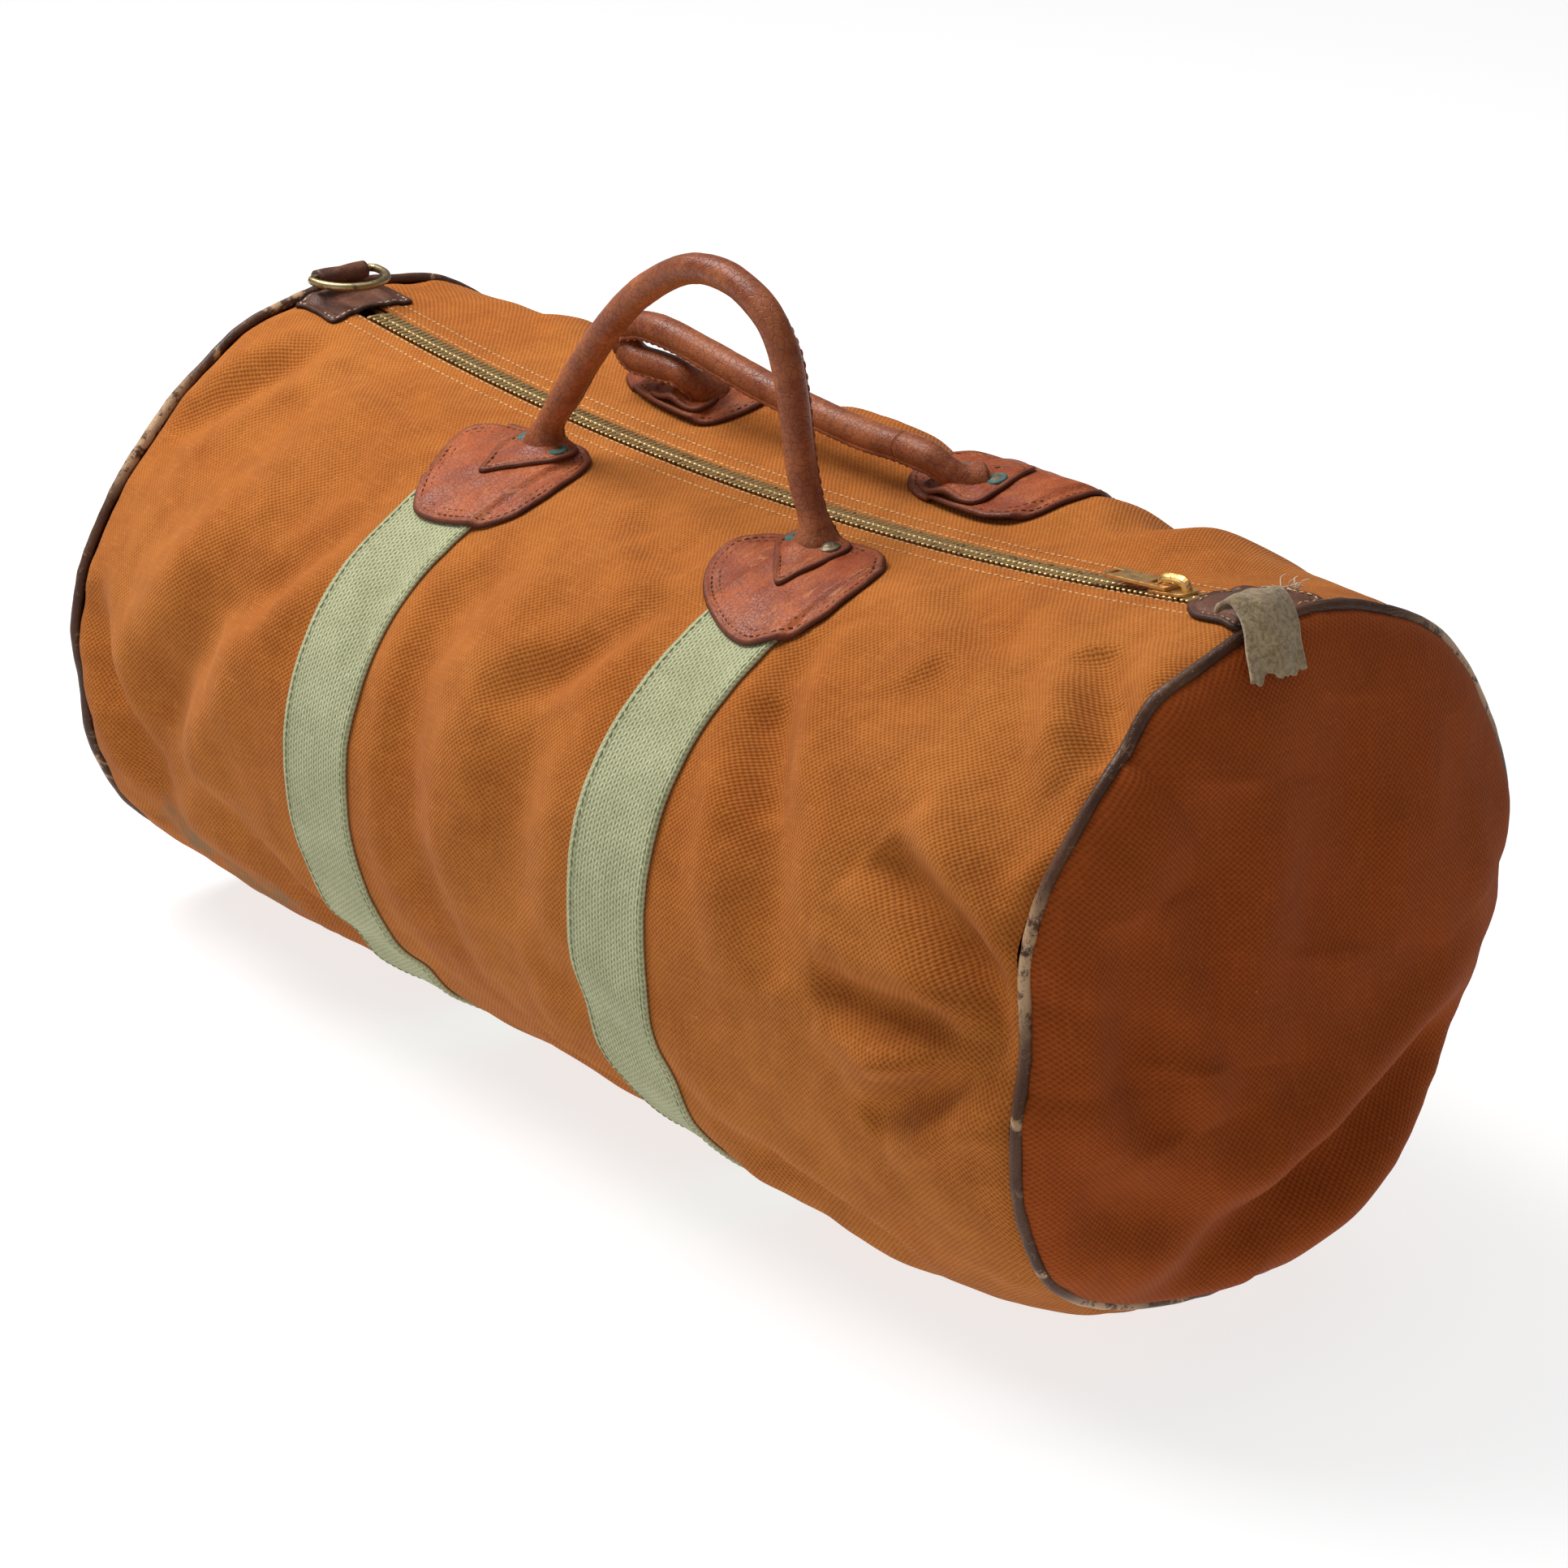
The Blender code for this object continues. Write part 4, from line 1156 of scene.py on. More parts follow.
@dataclass(frozen=True)
class Leather:
    """Oiled leather, darker at its edges, scuffed pale where it is rubbed."""

    name: str
    shade: Colour = (0.280, 0.046, 0.008)
    light: Colour = (0.410, 0.088, 0.016)
    dark: Colour = (0.075, 0.018, 0.008)
    scuff: Colour = (0.600, 0.260, 0.095)
    scratched: float = 0.8
    edge: float = 0.9
    gloss: float = 0.42
    grain: float = 420.0
    worn: float = 0.0

    def make(self) -> Material:
        """Builds the material."""
        finish = Finish(self.name, Specular_IOR_Level=0.24, Coat_Weight=0.04, Coat_Roughness=0.35)
        bench = finish.bench
        skin = finish.group(leather_grain(), Vector=finish.object, Scale=self.grain)
        age = finish.group(blotches(), Vector=finish.object)
        cloudy = bench.span(bench.noise(finish.object, 38.0, 4.0, 0.6, 0.5), 0.35, 0.66)
        base = bench.mix(cloudy, self.shade, self.light)
        base = bench.mix(bench.times(age["Quick"], 0.30), base, self.dark)
        # The grain's creases darkened: painted shade.
        base = bench.mix(bench.span(skin["Creases"], 1.0, 0.0, 0.0, 0.40), base, self.dark)
        if self.worn:
            rubbed = bench.span(bench.noise(finish.object, 26.0, 5.0, 0.7, 1.0), 0.60 - self.worn * 0.2, 0.66)
            flaking = bench.span(bench.noise(finish.object, 150.0, 5.0, 0.7), 0.40, 0.52)
            bare = bench.times(finish.layer("rub"), flaking)
            base = bench.mix(bench.math("MAXIMUM", rubbed, bare), base, self.scuff)
        base = bench.mix(bench.times(skin["Scratches"], self.scratched * 0.6), base, self.scuff)
        base = bench.mix(bench.times(age["Specks"], 0.35), base, self.scuff)
        burnished = bench.times(finish.layer("edge"), self.edge)
        base = bench.mix(burnished, base, self.dark)
        rough = bench.span(cloudy, 0.0, 1.0, self.gloss, self.gloss + 0.14)
        rough = bench.plus(rough, bench.times(skin["Scratches"], 0.2))
        return finish.wear(base, rough, bench.bump(skin["Height"], 0.0003, 0.55))


@dataclass(frozen=True)
class Metal:
    """Brass or its like, with dark tarnish or green verdigris in patches."""

    name: str
    shade: Colour = (0.300, 0.210, 0.100)
    tarnish: Colour = (0.070, 0.045, 0.022)
    amount: float = 0.5
    gloss: float = 0.36
    verdigris: float = 0.0
    green: Colour = (0.030, 0.130, 0.120)

    def make(self) -> Material:
        """Builds the material."""
        finish = Finish(self.name, Specular_IOR_Level=0.5)
        bench = finish.bench
        dull = bench.noise(finish.object, 260.0, 5.0, 0.65, 0.4)
        stained = bench.span(dull, 0.62 - self.amount * 0.35, 0.66)
        base = bench.mix(stained, self.shade, self.tarnish)
        metal = bench.span(stained, 0.0, 1.0, 1.0, 0.75)
        rough = bench.span(dull, 0.3, 0.7, self.gloss, self.gloss + 0.25)
        if self.verdigris:
            salt = bench.math("MAXIMUM", bench.span(finish.layer("edge"), 0.35, 0.75),
                              bench.span(bench.noise(finish.object, 520.0, 4.0, 0.7), 0.60, 0.70))
            salt = bench.times(salt, self.verdigris)
            base = bench.mix(salt, base, self.green)
            metal = bench.times(metal, bench.math("SUBTRACT", 1.0, salt))
            rough = bench.plus(rough, bench.times(salt, 0.35))
        bench.feed(finish.shader.inputs["Metallic"], metal)
        fine = bench.noise(finish.object, 1500.0, 3.0)
        return finish.wear(base, rough, bench.bump(fine, 0.0001, 0.4))


@dataclass(frozen=True)
class Fibre:
    """Thread, tape, rope or suede: one dull colour broken up by its fibres."""

    name: str
    shade: Colour = (0.520, 0.330, 0.150)
    light: Colour = (0.700, 0.520, 0.300)
    dark: Colour = (0.250, 0.130, 0.050)
    size: float = 900.0
    stretch: tuple[float, float, float] = (1.0, 1.0, 1.0)
    depth: float = 0.0003
    ribs: float = 0.0
    nap: float = 0.0

    def make(self) -> Material:
        """Builds the material."""
        finish = Finish(self.name, Roughness=0.92, Specular_IOR_Level=0.15, Sheen_Weight=self.nap)
        bench = finish.bench
        age = finish.group(blotches(), Vector=finish.object)
        hairs = bench.noise(bench.stretched(finish.object, self.stretch), self.size, 4.0, 0.6)
        height = hairs
        base = bench.mix(bench.span(hairs, 0.35, 0.65), self.shade, self.light)
        base = bench.mix(bench.times(age["Quick"], 0.45), base, self.dark)
        if self.ribs:
            along = bench.add("ShaderNodeSeparateXYZ", {0: finish.cloth()}).outputs[0]
            wave = bench.math("SINE", bench.times(along, math.tau / self.ribs))
            height = bench.plus(bench.times(wave, 0.5), bench.times(hairs, 0.4))
            # The troughs between the ribs darkened: painted shade.
            base = bench.mix(bench.span(wave, 0.3, -1.0, 0.0, 0.65), base, self.dark)
        return finish.wear(base, normal=bench.bump(height, self.depth, 0.8))


class Finishes:
    """Every finish of the bag, made once."""

    def __init__(self) -> None:
        """Makes the finishes."""
        self.canvas = Canvas("rust duck", stained=True).make()
        # The end panels get a darker, redder copy of the canvas: painted shade for the shade that falls on the
        # ends.
        self.panel = Canvas(
            "rust duck of the ends", shade=(0.255, 0.046, 0.006), light=(0.350, 0.078, 0.013),
            dark=(0.150, 0.033, 0.006)).make()
        self.webbing = Webbing("sage webbing").make()
        self.patch = Leather("cognac leather").make()
        self.handle = Leather(
            "handle leather", shade=(0.230, 0.052, 0.015), light=(0.350, 0.100, 0.030),
            dark=(0.055, 0.012, 0.006),
            scratched=0.35, gloss=0.34, grain=300.0, edge=0.0).make()
        self.piping = Leather(
            "piping leather", shade=(0.070, 0.026, 0.012), light=(0.120, 0.048, 0.021),
            dark=(0.018, 0.008, 0.005),
            scuff=(0.460, 0.290, 0.160), scratched=0.5, gloss=0.33, grain=700.0, edge=0.0, worn=0.08).make()
        self.dark = Leather(
            "dark leather", shade=(0.098, 0.034, 0.018), light=(0.165, 0.058, 0.029),
            dark=(0.030, 0.011, 0.007),
            scuff=(0.280, 0.150, 0.080), scratched=0.5, gloss=0.40).make()
        self.zip_brass = Metal(
            "antique brass", shade=(0.500, 0.340, 0.150), tarnish=(0.110, 0.062, 0.026), amount=0.30,
            gloss=0.34).make()
        self.ring_brass = Metal(
            "ring brass", shade=(0.340, 0.255, 0.130), amount=0.35, gloss=0.30).make()
        self.gilt = Metal(
            "bright brass", shade=(0.720, 0.420, 0.140), tarnish=(0.300, 0.150, 0.055), amount=0.15,
            gloss=0.24).make()
        self.rivet = Metal(
            "verdigris brass", shade=(0.170, 0.130, 0.085), amount=0.60, gloss=0.42, verdigris=0.80).make()
        self.thread = Fibre(
            "tan thread", shade=(0.600, 0.330, 0.130), light=(0.760, 0.500, 0.250),
            dark=(0.380, 0.180, 0.060)).make()
        self.dark_thread = Fibre(
            "brown thread", shade=(0.130, 0.045, 0.020), light=(0.240, 0.095, 0.040),
            dark=(0.050, 0.020, 0.010)).make()
        self.handle_thread = Fibre(
            "rust thread", shade=(0.330, 0.085, 0.035), light=(0.520, 0.190, 0.090),
            dark=(0.140, 0.035, 0.016)).make()
        self.white_thread = Fibre(
            "pale thread", shade=(0.620, 0.520, 0.400), light=(0.800, 0.720, 0.600),
            dark=(0.350, 0.260, 0.180)).make()
        self.sage_thread = Fibre(
            "sage thread", shade=(0.230, 0.250, 0.130), light=(0.330, 0.350, 0.190),
            dark=(0.110, 0.120, 0.060)).make()
        self.tape = Fibre(
            "zip tape", shade=(0.380, 0.185, 0.048), light=(0.560, 0.310, 0.095), dark=(0.110, 0.048, 0.014),
            ribs=0.0016, depth=0.0004).make()
        self.rope = Fibre("cotton rope", stretch=(1.0, 3.0, 3.0)).make()
        self.suede = Fibre(
            "olive suede", shade=(0.240, 0.165, 0.085), light=(0.400, 0.300, 0.170),
            dark=(0.110, 0.076, 0.038),
            size=520.0, depth=0.0010, nap=0.3).make()


# ---------------------------------------------------------------- pieces


def settle(obj: Object, body: str, slot: str, *nodes: str) -> Object:
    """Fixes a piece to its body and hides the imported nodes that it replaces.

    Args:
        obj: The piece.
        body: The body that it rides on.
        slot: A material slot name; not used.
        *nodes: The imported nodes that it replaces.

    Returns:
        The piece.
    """
    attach(obj, body)
    if nodes:
        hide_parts(*nodes)
    LOG.info("%s: %d faces, rides on %s", obj.name, len(obj.data.polygons), body)
    return obj


class Named(Enum):
    """Options whose names stand in the names of pieces."""

    @property
    def word(self) -> str:
        """The option's name in small letters."""
        return self.name.lower()


class Side(Named):
    """The two ends of the bag, and the sign of x there."""

    LEFT = -1
    RIGHT = 1


class Face(Named):
    """The two long sides of the bag, and the sign of s there."""

    FRONT = 1
    BACK = -1


@dataclass
class Body:
    """The stuffed canvas, its two end panels and the piping in the end seams."""

    skin: Skin
    finishes: Finishes
    columns: int = 232
    rows: int = 330
    slot_half: float = 0.0075
    seam: float = 0.0022
    piping_radius: float = 0.0032
    hem_in: tuple[float, ...] = (0.0050, 0.0016, 0.0000, -0.0004, 0.0008)
    hem_down: tuple[float, ...] = (-0.0030, -0.0026, -0.0018, -0.0006, 0.0)

    def build(self) -> None:
        """Builds every piece of the body."""
        self.canvas()
        for side in Side:
            self.panel(side)
            self.piping(side)

    def canvas(self) -> None:
        """One sheet from the zip's front edge round to its back edge, hemmed along both."""
        bm = bmesh.new()
        bmesh.ops.create_grid(bm, x_segments=self.columns, y_segments=self.rows, size=0.5)
        flat = coordinates(bm)
        reach = self.skin.shape.half_length - self.seam
        x = flat[:, 0] * 2 * reach
        share = flat[:, 1] + 0.5
        step = 1.0 / self.rows
        row = np.round(np.minimum(share, 1 - share) / step)
        turns = len(self.hem_in) - 1
        hem_in = np.interp(row, range(turns + 1), self.hem_in)
        hem_down = np.interp(row, range(turns + 1), self.hem_down)
        girth = self.skin.girth(x)
        inner = np.clip((share - turns * step) / (1 - 2 * turns * step), 0, 1)
        last = self.hem_in[-1]
        s = self.slot_half + last + inner * (girth - 2 * self.slot_half - 2 * last)
        hemmed = row < turns
        edge = np.where(share < 0.5, self.slot_half + hem_in, girth - self.slot_half - hem_in)
        s = np.where(hemmed, edge, s)
        flat = np.stack([x, s, np.where(hemmed, hem_down, 0.0)], 1)
        move_all(bm, flat)
        keep_cloth_uv(bm)
        wrap(bm, self.skin)
        obj = to_object(bm, "stuffed_canvas", self.finishes.canvas)
        settle(obj, "bag", "canvas", "canvas_body")

    def panel(self, side: Side) -> None:
        """Builds a bulging end panel, creased where the stuffing has sunk.

        Args:
            side: The end.
        """
        shape = self.skin.shape
        sign = side.value
        bm = spoked(78, 232, 0.80)
        flat = coordinates(bm)
        reach = np.minimum(np.hypot(flat[:, 0], flat[:, 1]), 1.0)
        angle = np.arctan2(flat[:, 1], flat[:, 0])
        x = np.full(len(flat), sign * shape.half_length)
        girth = self.skin.girth(x[0])
        rim = self.skin.lay(np.stack([x, angle / math.tau * girth, np.full(len(flat), 0.0026)], 1))
        rim_y, rim_z = rim[:, 1], rim[:, 2]
        middle = shape.widest(shape.half_length)
        y = rim_y * reach
        z = middle + (rim_z - middle) * reach
        bulge = shape.right_bulge if side is Side.RIGHT else shape.left_bulge
        out = 0.0085 * np.clip(1 - reach**16, 0, 1) ** 0.5 + bulge * np.clip(1 - reach**2.2, 0, 1) ** 0.75
        places = np.stack([np.zeros_like(y), y, z], 1)
        relief = 0.0022 * ripples(places, 0.110, 21 + sign) + 0.0007 * ripples(places, 0.036, 31 + sign)
        for fold in PANEL_FOLDS[side]:
            relief += fold.relief(y, z)
        out = out + relief * (1 - reach**6)
        seam_x = (rim[:, 0] - (sign * shape.half_length - shape.centre_x)) * reach**4
        places[:, 0] = sign * (shape.half_length + out) - shape.centre_x + seam_x
        for vert, (py, pz) in zip(bm.verts, places[:, 1:]):
            vert.co = (py, pz, 0.0)
        keep_cloth_uv(bm)
        move_all(bm, places)
        bmesh.ops.recalc_face_normals(bm, faces=bm.faces)
        top = max(bm.faces, key=lambda face: sign * face.calc_center_median().x)
        if top.normal.x * sign < 0:
            bmesh.ops.reverse_faces(bm, faces=bm.faces)
        # Its finish is the darker copy of the canvas: painted shade.
        obj = to_object(bm, f"end_cloth_{side.word}", self.finishes.panel)
        settle(obj, "bag", "end_canvas", f"end_panel_{side.word}")

    def piping(self, side: Side) -> None:
        """Builds a leather cord sewn into the seam, not quite even.

        Args:
            side: The end.
        """
        count = 420
        x = np.full(count, side.value * self.skin.shape.half_length)
        girth = self.skin.girth(x[0])
        s = np.linspace(0, girth, count, endpoint=False)
        path = self.skin.lay(np.stack([x, s, np.full(count, 0.0030)], 1))
        path = sum(np.roll(path, step, axis=0) for step in range(-4, 5)) / 9
        radii = self.piping_radius * (0.86 + 0.05 * ripples(path, 0.040, 44) + 0.03 * ripples(path, 0.009, 45))
        bm = sweep(path, list(radii), 12, closed=True)
        rub = bm.verts.layers.float.new("rub")
        along = bm.verts.layers.float["along"]
        for vert in bm.verts:
            vert[rub] = max(math.exp(-(((vert[along] - far) / wide) ** 4)) for far, wide in PIPING_RUBS[side])
        obj = to_object(bm, f"corded_edge_{side.word}", self.finishes.piping)
        settle(obj, "bag", "piping", f"piping_{side.word}")


PIPING_RUBS = {
    Side.RIGHT: ((0.188, 0.026), (0.372, 0.024), (0.760, 0.040)),
    Side.LEFT: ((0.120, 0.030), (0.560, 0.030)),
}
PANEL_FOLDS = {
    Side.RIGHT: (
        Fold((-0.080, 0.030), (0.110, 0.125), 0.018, -0.0090, -0.012, 0.7),
        Fold((-0.100, 0.215), (-0.085, 0.120), 0.014, -0.0050, 0.004, 0.7),
        Fold((-0.050, 0.262), (-0.072, 0.150), 0.020, -0.0045, 0.008, 0.5),
        Fold((0.020, 0.280), (0.000, 0.180), 0.030, -0.0030, 0.006, 0.4),
        Fold((-0.120, 0.100), (-0.040, 0.075), 0.016, -0.0040, 0.004, 0.5),
    ),
    Side.LEFT: (
        Fold((-0.100, 0.060), (0.090, 0.100), 0.018, -0.0040, 0.010, 0.5),
        Fold((-0.040, 0.260), (-0.060, 0.160), 0.020, -0.0030, 0.006, 0.4),
    ),
}


@dataclass
class Straps:
    """The two webbing straps that go right round the bag, and the thread along their edges."""

    skin: Skin
    finishes: Finishes
    width: float = 0.050
    layer: float = 0.0009
    thickness: float = 0.0015
    ends_s: float = 0.040
    rows_s: float = 0.045
    row_inset: float = 0.0030

    def build(self) -> None:
        """Builds both straps and their stitching."""
        for side in Side:
            self.strap(side)
        self.sewing()

    @staticmethod
    def wander(s: np.ndarray, side: Side) -> np.ndarray:
        """How far a strap strays from its straight line at s."""
        return 0.0007 * np.sin(s * 23.0 + side.value) + 0.0004 * np.sin(s * 61.0)

    def strap(self, side: Side) -> None:
        """Builds one strap, thicker along its selvedges.

        Args:
            side: The end that it is nearer to.
        """
        middle = side.value * self.skin.sewing.strap_x
        girth = self.skin.girth(middle)
        bm = bmesh.new()
        bmesh.ops.create_grid(bm, x_segments=26, y_segments=420, size=0.5)
        flat = coordinates(bm)
        across = flat[:, 0]
        s = self.ends_s + (flat[:, 1] + 0.5) * (girth - 2 * self.ends_s)
        move_all(bm, np.stack([across * self.width, s, np.zeros(len(s))], 1))
        keep_cloth_uv(bm)
        edge = np.abs(across) * 2
        lift = self.layer + self.thickness - 0.0004 + 0.0004 * np.exp(-(((edge - 0.94) / 0.05) ** 2))
        lift -= 0.0006 * smooth_step(edge, 0.965, 1.0)
        move_all(bm, np.stack([middle + across * self.width + self.wander(s, side), s, lift], 1))
        wrap(bm, self.skin)
        obj = to_object(bm, f"webbing_{side.word}", self.finishes.webbing)
        thicken(obj, self.thickness)
        settle(obj, "bag", "webbing", f"strap_{side.word}")

    def sewing(self) -> None:
        """A row of stitches along each edge of each strap."""
        rows = []
        for side in Side:
            middle = side.value * self.skin.sewing.strap_x
            s = np.linspace(self.rows_s, self.skin.girth(middle) - self.rows_s, 500)
            for edge in (-1, 1):
                x = middle + edge * (self.width / 2 - self.row_inset) + self.wander(s, side)
                rows.append(np.stack([x, s, np.full(len(s), self.layer + self.thickness - 0.0001)], 1))
        bm = stitches(self.skin, rows, WEBBING_STITCH, seed=5)
        obj = to_object(bm, "webbing_stitches", self.finishes.sage_thread)
        settle(obj, "bag", "webbing")


@dataclass
class LeatherPad:
    """A flat leather piece sewn to the bag, with a rolled edge and rows of stitches."""

    name: str
    outline: np.ndarray
    base: float
    top: float
    material: Material
    slot: str
    nodes: tuple[str, ...]
    rim: float = 0.0014
    under: tuple[float, float, float] | None = None
    mound: tuple[float, float, float, float, float] | None = None
    seed: int = 1

    def __post_init__(self) -> None:
        """Turns the outline anticlockwise, so that the pad faces out."""
        ahead = np.roll(self.outline, -1, axis=0)
        if (self.outline[:, 0] * ahead[:, 1] - ahead[:, 0] * self.outline[:, 1]).sum() < 0:
            self.outline = self.outline[::-1].copy()

    def level(self, x: np.ndarray, s: np.ndarray) -> np.ndarray:
        """How far the pad is lifted by what lies under it, beyond its own base.

        Args:
            x: Places along the bag.
            s: Places round the bag.

        Returns:
            The lift at each place: a step over a strap, and a mound where a handle rises.
        """
        lift = np.zeros(len(x))
        if self.under:
            middle, half, step = self.under
            lift = lift - step * smooth_step(np.abs(x - middle), half, half + 0.0035)
        if self.mound:
            place_x, place_s, wide, high, height = self.mound
            lift = lift + height * np.exp(-(((x - place_x) / wide) ** 2) - ((s - place_s) / high) ** 2)
        return lift

    def inside(self, inset: float) -> np.ndarray:
        """The outline drawn in by a distance.

        Args:
            inset: The distance, in metres.

        Returns:
            The smaller outline.
        """
        ahead = np.roll(self.outline, -1, axis=0) - np.roll(self.outline, 1, axis=0)
        inward = np.stack([-ahead[:, 1], ahead[:, 0]], 1)
        inward /= np.linalg.norm(inward, axis=1, keepdims=True)
        if ((self.outline.mean(0) - self.outline) * inward).sum() < 0:
            inward = -inward
        return self.outline + inward * inset

    def build(self, skin: Skin) -> Object:
        """Builds the pad and settles it on the bag.

        Args:
            skin: The bag's skin.

        Returns:
            The piece.
        """
        steps = len(self.outline)
        bm = spoked(22, steps, 0.62)
        edge_layer = bm.verts.layers.float.new("edge")
        flat = coordinates(bm)
        reach = np.minimum(np.hypot(flat[:, 0], flat[:, 1]), 1.0)
        angle = np.arctan2(flat[:, 1], flat[:, 0]) % math.tau
        index = np.round(angle / math.tau * steps).astype(int) % steps
        middle = self.outline.mean(0)
        x = middle[0] + (self.outline[index, 0] - middle[0]) * reach
        s = middle[1] + (self.outline[index, 1] - middle[1]) * reach
        size = np.linalg.norm(self.outline - middle, axis=1)[index]
        from_edge = (1 - reach) * size
        roll = np.sqrt(np.clip(1 - ((self.rim - np.minimum(from_edge, self.rim)) / self.rim) ** 2, 0, 1))
        lift = self.base + (self.top - self.base) * (0.35 + 0.65 * roll)
        lift += 0.0003 * np.exp(-(((from_edge - 0.0019) / 0.0010) ** 2))
        lift -= 0.0004 * np.exp(-(((from_edge - 0.0042) / 0.0009) ** 2))
        lift += 0.00022 * ripples(np.stack([x, s, x * 0], 1), 0.012, self.seed) + self.level(x, s)
        for vert, near in zip(bm.verts, from_edge):
            dark = max(0.0, 1.0 - near / 0.0034)
            vert[edge_layer] = min(1.0, dark * 1.1)
        move_all(bm, np.stack([x, s, lift], 1))
        keep_cloth_uv(bm)
        wrap(bm, skin)
        obj = to_object(bm, self.name, self.material)
        thicken(obj, self.top - self.base + 0.0002)
        settle(obj, "bag", self.slot, *self.nodes)
        return obj

    def sew(self, insets: Sequence[float]) -> list[np.ndarray]:
        """The lines on which the pad is sewn.

        Args:
            insets: How far in from the edge each line runs.

        Returns:
            Lines of (x, s, d).
        """
        rows = []
        for inset in insets:
            line = self.inside(inset)
            line = np.concatenate([line, line[:1]])
            lift = self.top - 0.0002 + self.level(line[:, 0], line[:, 1])
            rows.append(np.column_stack([line, lift]))
        return rows


PATCH_OUTLINES = {
    Side.LEFT: ((-0.092, 0.0290), (-0.120, 0.0312), (-0.1425, 0.0375), (-0.1520, 0.0470), (-0.1500, 0.0590),
                (-0.1400, 0.0780), (-0.1275, 0.0960), (-0.1165, 0.1040), (-0.0990, 0.1030), (-0.0790, 0.0965),
                (-0.0675, 0.0840), (-0.0655, 0.0680), (-0.0680, 0.0490), (-0.0730, 0.0360), (-0.0805, 0.0300)),
    Side.RIGHT: ((0.1195, 0.0290), (0.0950, 0.0300), (0.0700, 0.0340), (0.0560, 0.0420), (0.0515, 0.0530),
                 (0.0560, 0.0690), (0.0700, 0.0840), (0.0920, 0.0965), (0.1100, 0.1030), (0.1245, 0.1035),
                 (0.1370, 0.0940), (0.1440, 0.0800), (0.1450, 0.0640), (0.1420, 0.0470), (0.1335, 0.0340)),
}


